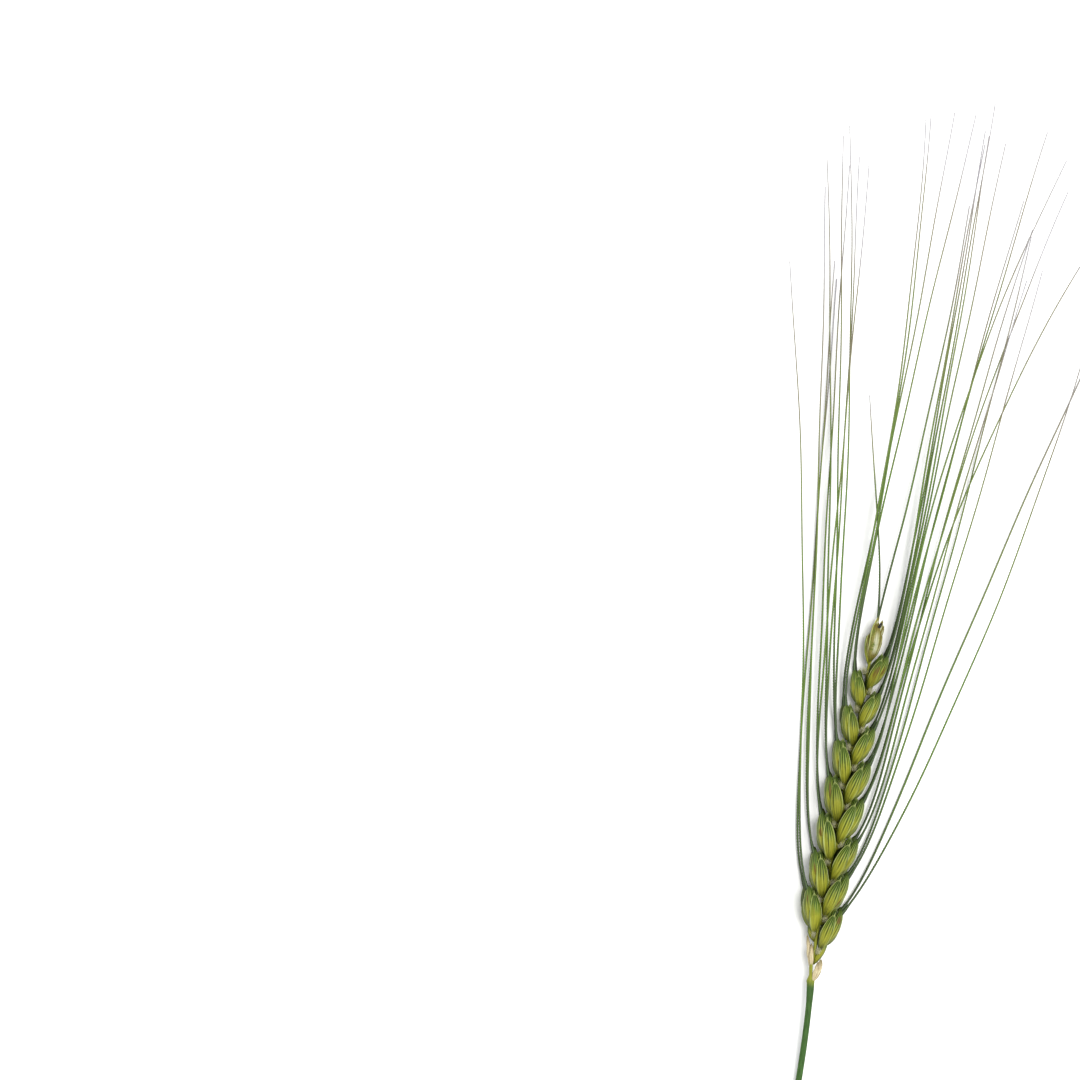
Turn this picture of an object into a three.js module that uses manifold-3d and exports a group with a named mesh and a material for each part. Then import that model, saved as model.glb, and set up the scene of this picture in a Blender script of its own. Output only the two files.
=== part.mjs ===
// A green bearded wheat ear with a short length of its stem, lying as picked on a flat surface.
// Millimetres. +Y runs along the ear from the cut stem to the beard, +X is the right-hand row of
// spikelets seen from above, and +Z is up from the surface at z = 0.
// The origin is the middle of the flat spot under the spikelet at the point of balance. All other
// lengths along the ear are counted from its lowest spikelet.
import * as THREE from "three";
import { mergeVertices } from "three/addons/utils/BufferGeometryUtils.js";
import Module from "manifold-3d";

const wasm = await Module();
wasm.setup();

const degrees = Math.PI / 180;

// The flat spot under the spikelet at the point of balance, from the foot of the ear's middle line
const REST_X = 1.03;
const REST_Y = 37.65;

// The ear
const NODE_STEP = 4.3; // along the ear from one spikelet to the next, which is on the other side
const FOOT_CLOSING = 2; // how much nearer to the foot the spikelets stand for closer steps there
const FOOT_STEPS = 1.6; // number of steps over which that comes in
const SIDE_SPIKELETS = 15; // number 0 is the lowest and stands on the right
const EAR_LIFT = 4.4; // height of the middle line of a full-sized spikelet above the surface
const EAR_BOW = -0.4; // how far the middle of the ear stands to the right of a straight line
const FOOT_BOW = -0.65; // the same for a second, shorter bow near its foot
const FOOT_BOW_Y = 4;
const FOOT_BOW_RUN = 9; // length over which the short bow fades to either side
const FOOT_SPLAY = 0.6; // how far the lowest spikelet stands out from its place
const SPLAY_STEPS = 2; // number of steps over which that fades
const SPIKELET_LEAN = 16 * degrees; // outward from the ear's middle line
const BASE_INSET = 0.15; // a husk's base reaches this far past the middle line
const LEAN_SPREAD = 1.5 * degrees;
const ROLL_SPREAD = 5 * degrees; // about a spikelet's own length
const SIZE_AT_FOOT = 0.93; // the lowest spikelet against a full one
const SIZE_AT_TOP = 0.78; // the highest one
const FOOT_ZONE = 0.14; // share of the ear in which the spikelets grow to full size
const TOP_ZONE = 0.45; // share of the ear from which they get smaller
const SIZE_SPREAD = 0.02;

// A spikelet's husks, in its own directions: u outward, v along it and w towards its front face
const GLUME = { base: [0.7, -0.3, 0.9], tip: [0.15, 9.1, 3.5], belly: [-0.15, 1.2], wide: 1.4, deep: 1.35 };
const LEMMA = { base: [0.9, 0.8, 0.7], tip: [1.15, 11, 3.2], belly: [0.45, 0.7], wide: 1.25, deep: 1.5 };
const MIDDLE_LEMMA = { base: [1.2, 0.9, 0], tip: [-0.1, 10.6, 0], belly: [0.6, 0], wide: 1.75, deep: 1.6 };
const LOWEST_FOOT = { base: [0.85, -4, 0], tip: [1.2, 3.6, 0], belly: [0.1, 0], wide: 0.95, deep: 1.2 };
const HUSK_RINGS = [0.06, 0.24, 0.47, 0.7, 0.9]; // shares of its length
const HUSK_SIDES = 8;
const BACK_SHIFT = 0.35; // the back lemma stands this much higher up the spikelet

// The spikelet at the ear's tip, which is turned a quarter: its own u runs to the right
const TOP_RISE = 1.3; // beyond the next step up the ear
const TOP_FRONT = { base: [-0.3, 0.2, 0.5], tip: [-0.4, 9.6, 1.2], belly: [0.3, 0.7], wide: 1.25, deep: 1.1 };
const TOP_LEFT = { base: [-0.4, 0, 0.1], tip: [-1.45, 6.4, 0.5], belly: [-0.25, 0], wide: 0.65, deep: 1.3 };
const TOP_RIGHT = { base: [0.1, 0.5, 0], tip: [1, 7.4, 0.3], belly: [0.35, 0], wide: 0.65, deep: 1.3 };
const TOP_SPIKE = { base: [-0.1, -1.2, 0.2], tip: [-1.95, 5.9, 0.6], belly: [-0.4, 0.3], wide: 0.45, deep: 0.5 };

// The awns
const AWN_ROOT = 0.82; // share of its lemma's length where an awn starts, inside it
const AWN_RADIUS = 0.34;
const AWN_TIP_RADIUS = 0.15;
const AWN_SIDES = 3;
const AWN_STEPS = 13;
const AWN_CROWDING = 1.5; // above 1, an awn's steps are shorter near its root, where it bends
const AWN_LENGTH = 142; // of the lowest ones, falling to AWN_LENGTH_TOP at the tip of the ear
const AWN_LENGTH_TOP = 123;
const AWN_LENGTH_SPREAD = 9;
const AWN_SALT = 1729; // its draw of lengths: the salts just above and below it are used
const AWN_BEND = 7.5; // length over which an awn turns from its lemma's lean to its own
const AWN_START_FOOT = 31; // degrees from the ear's middle line where the lowest awns start
const AWN_START_TOP = 12;
// Degrees to the right of the ear's middle line in which awns run past their bend and at their tips:
// [front, front tip, back, back tip] for each spikelet of a row, from the foot of the ear up.
const RUN_RIGHT = [
  [17.7, 4.2, 10.7, 14.6],
  [7.3, 4.1, 5.9, 2.9],
  [2.5, 6.9, 1.5, 7.2],
  [0, 13.1, -0.5, 22.5],
  [-4.3, 15.9, 1.6, 6],
  [2.7, 6.7, 1.5, 1.3],
  [1.8, -2.4, 0.5, -1.1],
  [-1.5, 0, 0.5, -1.5],
];
const RUN_LEFT = [
  [-7, -15.2, -6.9, -5.6],
  [-7.8, -9.8, -8.6, -6.3],
  [-5.9, -5.3, -8.3, -6.5],
  [-5.9, -8.3, -7.9, -12.2],
  [-5.7, -11.9, -8.8, -10.2],
  [3.4, -7.2, 2.7, -0.9],
  [2.8, -6.7, 1.4, 3.5],
];
const RISE_FOOT = 7.5 * degrees; // of the front awns of the lowest spikelet
const RISE_TOP = 2.2 * degrees;
const BACK_AWN_LIFT = 0.48; // height at which the lowest back awns lie along the surface
const BACK_AWN_STEP = 0.4; // each spikelet's back awn lies this much higher than the one below
const BACK_AWN_SETTLE = 14; // length over which a back awn comes to its height

// The rachis, which is the zigzag middle of the ear, and the stem below it
const RACHIS_ZIGZAG = 0.3;
const RACHIS_THICK = 0.42; // half of it, across the two rows
const RACHIS_WIDE = 0.85; // half of it, towards the front and back
const RACHIS_SWELL = 0.16; // at each node
const RACHIS_SLIMMING = 0.7; // its size at the tip of the ear against the foot
const RACHIS_HEAD = 0.4; // how far it reaches into the foot of the top spikelet
const RACHIS_FOOT_BOW = -0.4; // how far its bare foot bows to the left
const RACHIS_FOOT_Y = -3.8;
const RACHIS_FOOT_RUN = 2.6;
const COLLAR_Y = -7.5;
const COLLAR_RUN = 3; // length over which the round collar passes into the flat rachis
const STEM_LENGTH = 43.4;
const STEM_RADIUS = 0.7;
const COLLAR_RADIUS = 0.86;
const STEM_SWELL = 6; // length over which the stem widens to its collar
const STEM_SWING = 1.9; // how far the stem's foot stands to the right of the collar
const STEM_SWING_LENGTH = 18; // length over which it swings there
const STEM_FLAT = 0.06; // how much of the stem's cut end is pressed flat

const CULM_SIDES = 10;
// Where the stem and the collar have their rings: shares of the stem, and lengths from the collar
const STEM_STOPS = [0, 0.16, 0.32, 0.48, 0.62, 0.76, 0.88, 0.95];
const COLLAR_STOPS = [-0.9, -0.35, 0, 0.35, 1.1];

const CLEARANCE = 0.35; // between neighbours
const NEIGHBOURS = 3; // a spikelet can reach as many spikelets below it

// A fixed draw from -1 to 1 for number i, with one series for each salt.
function draw(i, salt) {
  const n = Math.sin(i * 12.9898 + salt * 78.233) * 43758.5453;
  return 2 * (n - Math.floor(n)) - 1;
}

const mix = (a, b, t) => a + (b - a) * t;
const smooth = (a, b, x) => THREE.MathUtils.smoothstep(x, a, b);

// Solids
// A closed geometry as a solid, with its faces turned outward.
function solidOf(geometry) {
  const bare = geometry.clone();
  bare.deleteAttribute("normal");
  bare.deleteAttribute("uv");
  const merged = mergeVertices(bare, 1e-4);
  const place = merged.getAttribute("position");
  const corners = Array.from(merged.index.array);
  const faces = [];
  for (let i = 0; i < corners.length; i += 3) {
    const [a, b, c] = corners.slice(i, i + 3);
    if (a !== b && b !== c && c !== a) faces.push([a, b, c]);
  }
  const at = (i) => new THREE.Vector3().fromBufferAttribute(place, i);
  const volume = faces.reduce((sum, [a, b, c]) => sum + at(a).dot(at(b).cross(at(c))), 0);
  const turned = volume < 0 ? faces.map(([a, b, c]) => [a, c, b]) : faces;
  return new wasm.Manifold(
    new wasm.Mesh({
      numProp: 3,
      vertProperties: new Float32Array(place.array),
      triVerts: new Uint32Array(turned.flat()),
    }),
  );
}

// The largest body of a solid, without loose scraps and sealed hollows.
function largestBody(solid) {
  return solid.decompose().reduce((best, body) => (body.volume() > best.volume() ? body : best));
}

function meshOf(name, solid, material) {
  const { numProp, vertProperties, triVerts } = solid.getMesh();
  const points = new Float32Array((vertProperties.length / numProp) * 3);
  for (let i = 0; i < points.length / 3; i++) {
    points.set(vertProperties.subarray(i * numProp, i * numProp + 3), i * 3);
  }
  const geometry = new THREE.BufferGeometry();
  geometry.setAttribute("position", new THREE.BufferAttribute(points, 3));
  geometry.setIndex(new THREE.BufferAttribute(triVerts, 1));
  geometry.computeVertexNormals();
  const mesh = new THREE.Mesh(geometry, material);
  mesh.name = name;
  return mesh;
}

// A geometry with each point (x, y, z) moved to move(x, y, z).
function reshape(geometry, move) {
  const place = geometry.getAttribute("position");
  for (let i = 0; i < place.count; i++) {
    place.setXYZ(i, ...move(place.getX(i), place.getY(i), place.getZ(i)));
  }
  return geometry;
}

// A closed tube of steps that follows path(t) for t from 0 to 1. halves(t) gives half its width
// across, level with the surface, and half its depth.
function tubeAlong(path, halves, sides, shares) {
  const rod = new THREE.CylinderGeometry(1, 1, 1, sides, shares.length - 1);
  const up = new THREE.Vector3(0, 0, 1);
  return reshape(rod, (x, y, z) => {
    const t = shares[Math.round((y + 0.5) * (shares.length - 1))];
    const middle = path(t);
    const ahead = path(t + 1e-3).sub(path(t - 1e-3)).normalize();
    const across = new THREE.Vector3().crossVectors(ahead, up).normalize();
    const above = new THREE.Vector3().crossVectors(across, ahead);
    const [wide, deep] = halves(t);
    middle.addScaledVector(across, x * wide).addScaledVector(above, z * deep);
    return middle.toArray();
  });
}

// Husks
// Half width of a husk at share t of its length, against its widest: blunt below, drawn out above.
const HUSK_FOOT = 0.7;
const HUSK_HEAD = 0.74;
const huskShape = (t) => t ** HUSK_FOOT * (1 - t) ** HUSK_HEAD;
const HUSK_WIDEST = huskShape(HUSK_FOOT / (HUSK_FOOT + HUSK_HEAD));
const POINT_GROWTH = 0.1; // share of a husk's length that its points gain for each millimetre of growth

// A husk's middle line at share t: a straight run from base to tip, bellied outward by a sine.
// side is 1 for a front husk and -1 for its mirror image at the back.
function huskMiddle(husk, side, shift, t) {
  const belly = Math.sin(Math.PI * t);
  return [
    mix(husk.base[0], husk.tip[0], t) + husk.belly[0] * belly,
    mix(husk.base[1], husk.tip[1], t) + shift,
    side * (mix(husk.base[2], husk.tip[2], t) + husk.belly[1] * belly),
  ];
}

// A husk as a pointed pod. grow makes it fatter all round, for cutting its neighbours clear of it.
function huskSolid(husk, side, shift, place, grow = 0) {
  const outline = [
    new THREE.Vector2(0, -grow * POINT_GROWTH),
    ...HUSK_RINGS.map((t) => new THREE.Vector2(huskShape(t) / HUSK_WIDEST, t)),
    new THREE.Vector2(0, 1 + grow * POINT_GROWTH),
  ];
  const pod = reshape(new THREE.LatheGeometry(outline, HUSK_SIDES), (x, t, z) => {
    const [u, v, w] = huskMiddle(husk, side, shift, t);
    return place(u + x * (husk.wide + grow), v, w + z * (husk.deep + grow)).toArray();
  });
  return solidOf(pod);
}

// Spikelets
// How far up the ear spikelet k stands.
const nodeHeight = (k) => NODE_STEP * k - FOOT_CLOSING * (1 - Math.exp(-k / FOOT_STEPS));

// Share of the way up the ear, from 0 at the lowest spikelet to 1 at the highest.
const upEar = (k) => k / (SIDE_SPIKELETS - 1);

// The ear's middle line bows a little to one side, and once more near its foot.
const EAR_LENGTH = nodeHeight(SIDE_SPIKELETS);
const longBow = (y) => (y > 0 ? EAR_BOW * Math.sin((Math.PI * y) / EAR_LENGTH) : 0);
const footBow = (y) => FOOT_BOW * Math.exp(-(((y - FOOT_BOW_Y) / FOOT_BOW_RUN) ** 2));
const earBow = (y) => longBow(y) + footBow(y);

// The spikelets' size at height y against the full one, without their own small differences.
function sizeAt(y) {
  const up = y / nodeHeight(SIDE_SPIKELETS - 1);
  return mix(SIZE_AT_FOOT, 1, smooth(0, FOOT_ZONE, up)) * mix(1, SIZE_AT_TOP, smooth(TOP_ZONE, 1, up));
}

// The ear's middle line comes down where the spikelets are smaller, as the ear lies on its back.
const earLift = (y) => EAR_LIFT * sizeAt(y);

// Where a side spikelet's own u, v, w point is in the ear.
function spikeletPlace(k) {
  const row = k % 2 === 0 ? 1 : -1;
  const size = sizeAt(nodeHeight(k)) * (1 + SIZE_SPREAD * draw(k, 1));
  const lean = SPIKELET_LEAN + LEAN_SPREAD * draw(k, 2);
  const roll = ROLL_SPREAD * draw(k, 22);
  const foot = nodeHeight(k);
  const inner = FOOT_SPLAY * Math.exp(-k / SPLAY_STEPS) - BASE_INSET;
  return (u, v, w) => {
    const out = u * Math.cos(roll) - w * Math.sin(roll);
    const high = u * Math.sin(roll) + w * Math.cos(roll);
    return new THREE.Vector3(
      earBow(foot) + row * (inner + size * (v * Math.sin(lean) + out * Math.cos(lean))),
      foot + size * (v * Math.cos(lean) - out * Math.sin(lean)),
      earLift(foot) + size * high,
    );
  };
}

// Where the top spikelet's u, v, w point is.
function topPlace(u, v, w) {
  return new THREE.Vector3(u, EAR_LENGTH + TOP_RISE + v, earLift(EAR_LENGTH) + w);
}

// The husks of a spikelet: a glume and a lemma on each face, and a lemma between them.
const HUSKS = [
  [GLUME, 1, 0],
  [GLUME, -1, 0],
  [LEMMA, 1, 0],
  [LEMMA, -1, BACK_SHIFT],
  [MIDDLE_LEMMA, 1, 0],
];

// The lowest spikelet also stands on a stout foot of its own.
const husksOf = (k) => (k === 0 ? [...HUSKS, [LOWEST_FOOT, 1, 0]] : HUSKS);

const TOP_HUSKS = [
  [TOP_FRONT, 1, 0],
  [TOP_FRONT, -1, -BACK_SHIFT],
  [TOP_LEFT, 1, 0],
  [TOP_RIGHT, 1, 0],
  [TOP_SPIKE, 1, 0],
];

const podsOf = (husks, place, grow = 0) =>
  husks.map(([husk, side, shift]) => huskSolid(husk, side, shift, place, grow)).reduce((a, b) => a.add(b));

// Awns
// How the awn on the front (side 1) or back (side -1) lemma of spikelet k runs.
function awnManner(k, side) {
  const row = k % 2 === 0 ? 1 : -1;
  const runs = (row > 0 ? RUN_RIGHT : RUN_LEFT)[Math.floor(k / 2)];
  const [run, end] = side > 0 ? runs.slice(0, 2) : runs.slice(2);
  return {
    start: row * mix(AWN_START_FOOT, AWN_START_TOP, upEar(k)) * degrees,
    run: run * degrees,
    end: end * degrees,
    length: mix(AWN_LENGTH, AWN_LENGTH_TOP, upEar(k)) + AWN_LENGTH_SPREAD * draw(k, AWN_SALT + side),
    rise: side > 0 ? mix(RISE_FOOT, RISE_TOP, upEar(k)) : 0,
    lift: BACK_AWN_LIFT + BACK_AWN_STEP * k,
  };
}

// An awn's middle line. It leaves root at the start lean, turns to its run over AWN_BEND and bends
// evenly from there to its end lean. A front awn has a rise and climbs steadily. A back one comes
// down to its lift and lies along the surface.
function awnPath(root, { start, run, end, length, rise, lift }) {
  return (t) => {
    const s = t * length;
    const turning = AWN_BEND * (1 - Math.exp(-s / AWN_BEND));
    const settling = Math.exp(-s / BACK_AWN_SETTLE);
    const sweep = (Math.tan(end) - Math.tan(run)) * (s / 2) * t;
    const x = Math.tan(run) * s + (Math.tan(start) - Math.tan(run)) * turning + sweep;
    const z = rise > 0 ? root.z + Math.tan(rise) * s : lift + (root.z - lift) * settling;
    return new THREE.Vector3(root.x + x, root.y + s, z);
  };
}

const AWN_SHARES = Array.from({ length: AWN_STEPS + 1 }, (_, i) => (i / AWN_STEPS) ** AWN_CROWDING);

function awnSolid(root, manner) {
  const path = awnPath(root, manner);
  const halves = (t) => {
    const radius = mix(AWN_RADIUS, AWN_TIP_RADIUS, t);
    return [radius, radius];
  };
  return solidOf(tubeAlong(path, halves, AWN_SIDES, AWN_SHARES));
}

function awnsOf(k, place) {
  return [1, -1].map((side) => {
    const root = place(...huskMiddle(LEMMA, side, side < 0 ? BACK_SHIFT : 0, AWN_ROOT));
    return awnSolid(root, awnManner(k, side));
  });
}

// The top spikelet's awns, on the front (side 1) or the back of it
const TOP_AWNS = [
  { husk: TOP_FRONT, side: 1, start: -2, run: -13, end: -15, length: 50, rise: 2.6 },
  { husk: TOP_FRONT, side: -1, start: 2, run: 5.3, end: -1, length: 95, rise: 1.4 },
];
const inRadians = (manner) => ({
  ...manner,
  start: manner.start * degrees,
  run: manner.run * degrees,
  end: manner.end * degrees,
  rise: manner.rise * degrees,
});

// The rachis and the stem
// The number of steps up the ear at height y, with parts of a step: nodeHeight turned round, which
// a few rounds of correction reach.
function stepsAt(y) {
  let k = y / NODE_STEP;
  for (let i = 0; i < 20; i++) {
    k = (y + FOOT_CLOSING * (1 - Math.exp(-Math.max(0, k) / FOOT_STEPS))) / NODE_STEP;
  }
  return k;
}

// The rachis's middle line swings from side to side, to the side of each node's spikelet.
function rachisMiddle(y) {
  const node = stepsAt(y);
  const swing = THREE.MathUtils.clamp(1.4 * Math.cos(Math.PI * node), -1, 1);
  const bareFoot = RACHIS_FOOT_BOW * Math.exp(-(((y - RACHIS_FOOT_Y) / RACHIS_FOOT_RUN) ** 2));
  return RACHIS_ZIGZAG * swing * smooth(-2, -0.2, node) + bareFoot;
}

// The middle line of rachis and stem by y: the stem below the collar slopes down to the surface.
function culmMiddle(y) {
  const below = Math.max(0, COLLAR_Y - y);
  const lift = mix(earLift(y), STEM_RADIUS - STEM_FLAT, smooth(0, 1, below / STEM_LENGTH));
  const swing = STEM_SWING * (1 - Math.exp(-below / STEM_SWING_LENGTH));
  return new THREE.Vector3(rachisMiddle(y) + earBow(y) + swing, y, lift);
}

// Half the width and half the depth of the stem and rachis at y.
function culmHalves(y) {
  if (y < COLLAR_Y) {
    const radius = mix(STEM_RADIUS, COLLAR_RADIUS, smooth(-STEM_SWELL, 0, y - COLLAR_Y));
    return [radius, radius];
  }
  const slim = mix(1, RACHIS_SLIMMING, smooth(0.5, 1, y / EAR_LENGTH));
  const flat = smooth(0, COLLAR_RUN, y - COLLAR_Y);
  const swell = RACHIS_SWELL * Math.cos(2 * Math.PI * stepsAt(y));
  return [
    mix(COLLAR_RADIUS, RACHIS_THICK * slim, smooth(0, COLLAR_RUN / 2, y - COLLAR_Y)),
    mix(COLLAR_RADIUS, (RACHIS_WIDE + swell) * slim, flat),
  ];
}

function culmSolid(grow = 0) {
  const foot = COLLAR_Y - STEM_LENGTH;
  const head = EAR_LENGTH + TOP_RISE + RACHIS_HEAD + grow;
  const stops = [
    ...STEM_STOPS.map((t) => mix(foot, COLLAR_Y, t)),
    ...COLLAR_STOPS.map((y) => COLLAR_Y + y),
    ...Array.from({ length: 2 * SIDE_SPIKELETS + 2 }, (_, i) => nodeHeight(i / 2) - 0.4),
    head,
  ];
  const shares = stops.map((y) => (y - foot) / (head - foot));
  const path = (t) => culmMiddle(mix(foot, head, t));
  const halves = (t) => culmHalves(mix(foot, head, t)).map((half) => half + grow);
  return solidOf(tubeAlong(path, halves, CULM_SIDES, shares));
}

// The two dry bracts below the lowest spikelet, from base to tip, in the ear's own directions
const BRACTS = {
  bract_left: { base: [-1.0, -4.1, 0.3], tip: [-2.7, 2.2, 0.2], wide: 0.6, deep: 0.5, belly: [-0.2, 0.2] },
  bract_right: { base: [0.6, -7.3, 0.3], tip: [1.6, -2.4, 0.6], wide: 0.8, deep: 0.55, belly: [0.35, 0.3] },
};

// Assembly
const GROUND_SIZE = 500;
const groundBox = new THREE.BoxGeometry(GROUND_SIZE, GROUND_SIZE, GROUND_SIZE);
groundBox.translate(0, 0, -GROUND_SIZE / 2);
const ground = solidOf(groundBox);

const greenHusk = new THREE.MeshStandardMaterial({ color: 0x8a9a33, roughness: 0.55, metalness: 0 });
const dryHusk = new THREE.MeshStandardMaterial({ color: 0xa39a56, roughness: 0.6, metalness: 0 });
const straw = new THREE.MeshStandardMaterial({ color: 0xcbb98c, roughness: 0.7, metalness: 0 });
const culm = new THREE.MeshStandardMaterial({ color: 0x4c7338, roughness: 0.5, metalness: 0 });

const grownCulm = culmSolid(CLEARANCE);
const sidePlaces = Array.from({ length: SIDE_SPIKELETS }, (_, k) => spikeletPlace(k));
const grownPods = sidePlaces.map((place, k) => podsOf(husksOf(k), place, CLEARANCE));

// A piece cut clear of the rachis and of the spikelets numbered from first up to last.
function cutClear(piece, first, last) {
  return grownPods
    .slice(Math.max(0, first), last)
    .reduce((solid, pods) => solid.subtract(pods), piece.subtract(grownCulm));
}

const ear = new THREE.Group();
ear.add(meshOf("stem_and_rachis", culmSolid().subtract(ground), culm));

sidePlaces.forEach((place, k) => {
  const pods = largestBody(cutClear(podsOf(husksOf(k), place), k - NEIGHBOURS, k));
  const whole = awnsOf(k, place).reduce((solid, awn) => solid.add(awn), pods).subtract(ground);
  const name = "spikelet_" + String(k + 1).padStart(2, "0");
  ear.add(meshOf(name, largestBody(whole), greenHusk));
});

const topPods = largestBody(
  cutClear(podsOf(TOP_HUSKS, topPlace), SIDE_SPIKELETS - NEIGHBOURS, SIDE_SPIKELETS),
);
const topAwns = TOP_AWNS.map(({ husk, side, ...manner }) =>
  awnSolid(topPlace(...huskMiddle(husk, side, 0, AWN_ROOT)), inRadians(manner)),
);
ear.add(meshOf("spikelet_top", topAwns.reduce((solid, awn) => solid.add(awn), topPods), dryHusk));

const footPlace = (x, y, z) => new THREE.Vector3(x, y, earLift(0) + z);
for (const [name, bract] of Object.entries(BRACTS)) {
  const solid = cutClear(huskSolid(bract, 1, 0, footPlace), 0, 2);
  ear.add(meshOf(name, largestBody(solid), straw));
}

ear.children.forEach((mesh) => mesh.geometry.translate(-REST_X, -REST_Y, 0));

export default ear;
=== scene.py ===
"""A green bearded wheat ear with a short length of its stem, lying on its back on a pale surface.

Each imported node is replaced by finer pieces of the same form: ribbed and keeled husks, barbed awns,
a hollow cut stem with its zigzag rachis, papery bracts and tufts of pale hair. Lengths below are in
millimetres, and places along the ear are counted from its lowest spikelet. They are moved to the
frame's origin and turned into metres when a mesh is made.
"""

import math
from collections import namedtuple

import bpy
import numpy as np
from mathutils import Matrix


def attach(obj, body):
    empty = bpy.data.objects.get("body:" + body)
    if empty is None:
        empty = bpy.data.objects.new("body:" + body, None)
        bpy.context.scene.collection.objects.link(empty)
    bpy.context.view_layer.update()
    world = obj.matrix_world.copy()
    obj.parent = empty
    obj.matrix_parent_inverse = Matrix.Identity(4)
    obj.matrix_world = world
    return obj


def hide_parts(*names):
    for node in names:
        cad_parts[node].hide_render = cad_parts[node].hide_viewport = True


bl_info = {
    "name": "Bearded Wheat Ear",
    "version": (1, 0, 0),
    "blender": (4, 5, 0),
    "location": "3D View > Sidebar > Wheat Ear",
    "description": "Makes the husks, awns, stem and hairs of a bearded wheat ear on its packed frame",
    "category": "Add Mesh",
}

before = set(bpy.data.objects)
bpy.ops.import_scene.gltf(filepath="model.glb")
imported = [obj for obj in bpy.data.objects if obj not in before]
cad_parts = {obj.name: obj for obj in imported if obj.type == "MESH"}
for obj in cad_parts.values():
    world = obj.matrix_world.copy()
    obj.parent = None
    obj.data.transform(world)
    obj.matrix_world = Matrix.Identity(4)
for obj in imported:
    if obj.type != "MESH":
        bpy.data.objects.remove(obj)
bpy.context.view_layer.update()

MM = 0.001
TAU = 2 * math.pi
REST_AT = np.array([1.03, 37.65, 0.0])

# The rule that sets the spikelets on the ear
NODE_STEP = 4.3
FOOT_CLOSING = 2.0
FOOT_STEPS = 1.6
SIDE_SPIKELETS = 15
EAR_LIFT = 4.4
EAR_BOW = -0.4
FOOT_BOW = -0.65
FOOT_BOW_Y = 4.0
FOOT_BOW_RUN = 9.0
FOOT_SPLAY = 0.6
SPLAY_STEPS = 2.0
SPIKELET_LEAN = math.radians(16)
BASE_INSET = 0.15
LEAN_SPREAD = math.radians(1.5)
ROLL_SPREAD = math.radians(5)
SIZE_AT_FOOT = 0.93
SIZE_AT_TOP = 0.78
FOOT_ZONE = 0.14
TOP_ZONE = 0.45
SIZE_SPREAD = 0.02
BACK_SHIFT = 0.35
TOP_RISE = 1.3

# Husks: base and tip (across the ear, along it and up), how far the belly stands out (across and up),
# and half the width and half the depth of the section
Husk = namedtuple("Husk", "base tip belly wide deep")
GLUME = Husk((0.7, -0.3, 0.9), (0.15, 9.1, 3.5), (-0.15, 1.2), 1.4, 1.35)
LEMMA = Husk((0.9, 0.8, 0.7), (1.15, 11.0, 3.2), (0.45, 0.7), 1.25, 1.5)
MIDDLE_LEMMA = Husk((1.2, 0.9, 0.0), (-0.1, 10.6, 0.0), (0.6, 0.0), 1.75, 1.6)
FOOT = Husk((0.75, -2.1, 0.0), (1.1, 3.0, 0.0), (0.15, 0.0), 0.85, 1.15)
LOWEST_FOOT = Husk((0.85, -4.0, 0.0), (1.2, 3.6, 0.0), (0.1, 0.0), 0.95, 1.2)
TOP_FRONT = Husk((-0.3, 0.2, 0.5), (-0.4, 9.6, 1.2), (0.3, 0.7), 1.25, 1.1)
TOP_LEFT = Husk((-0.4, 0.0, 0.1), (-1.45, 6.4, 0.5), (-0.25, 0.0), 0.65, 1.3)
TOP_RIGHT = Husk((0.1, 0.5, 0.0), (1.0, 7.4, 0.3), (0.35, 0.0), 0.65, 1.3)
TOP_SPIKE = Husk((-0.1, -1.2, 0.2), (-1.95, 5.9, 0.6), (-0.5, 0.3), 0.32, 0.4)
TOP_SHREDS = (
    Husk((0.2, 6.2, 1.5), (0.75, 9.7, 1.7), (0.15, 0.1), 0.36, 0.2),
    Husk((-0.5, 7.2, 1.5), (-0.1, 10.5, 1.6), (-0.1, 0.1), 0.32, 0.2),
    Husk((0.6, 5.4, 0.8), (1.25, 8.6, 1.0), (0.2, 0.1), 0.3, 0.2),
)
ANTHER = Husk((0.1, 7.7, 2.0), (0.55, 9.2, 1.9), (0.1, 0.15), 0.3, 0.25)
HUSK_FOOT = 0.7
HUSK_HEAD = 0.74

# The dry bracts at the foot of the ear, each a broad and a narrow papery blade
BRACTS = {
    "bract_left": (
        Husk((-0.7, -4.9, 0.4), (-2.75, 2.5, 0.2), (0.1, 0.3), 0.52, 0.2),
        Husk((-0.65, -4.5, 0.7), (-1.5, 0.9, 1.0), (0.05, 0.2), 0.46, 0.2),
    ),
    "bract_right": (
        Husk((0.2, -7.7, 0.3), (1.2, -2.2, 0.6), (0.3, 0.3), 0.68, 0.26),
        Husk((0.15, -7.5, 0.6), (0.65, -2.9, 1.0), (0.1, 0.15), 0.45, 0.2),
    ),
}

# The husks of a side spikelet and of the top one: form, look, side (1 faces up, -1 down) and shift
SIDE_HUSKS = (
    (GLUME, "glume", 1, 0.0),
    (GLUME, "glume", -1, 0.0),
    (LEMMA, "lemma", 1, 0.0),
    (LEMMA, "lemma", -1, BACK_SHIFT),
    (MIDDLE_LEMMA, "middle", 1, 0.0),
)
TOP_HUSKS = (
    (TOP_FRONT, "dry", 1, 0.0),
    (TOP_FRONT, "dry", -1, -BACK_SHIFT),
    (TOP_LEFT, "dry", 1, 0.0),
    (TOP_RIGHT, "dry", 1, 0.0),
)

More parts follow.
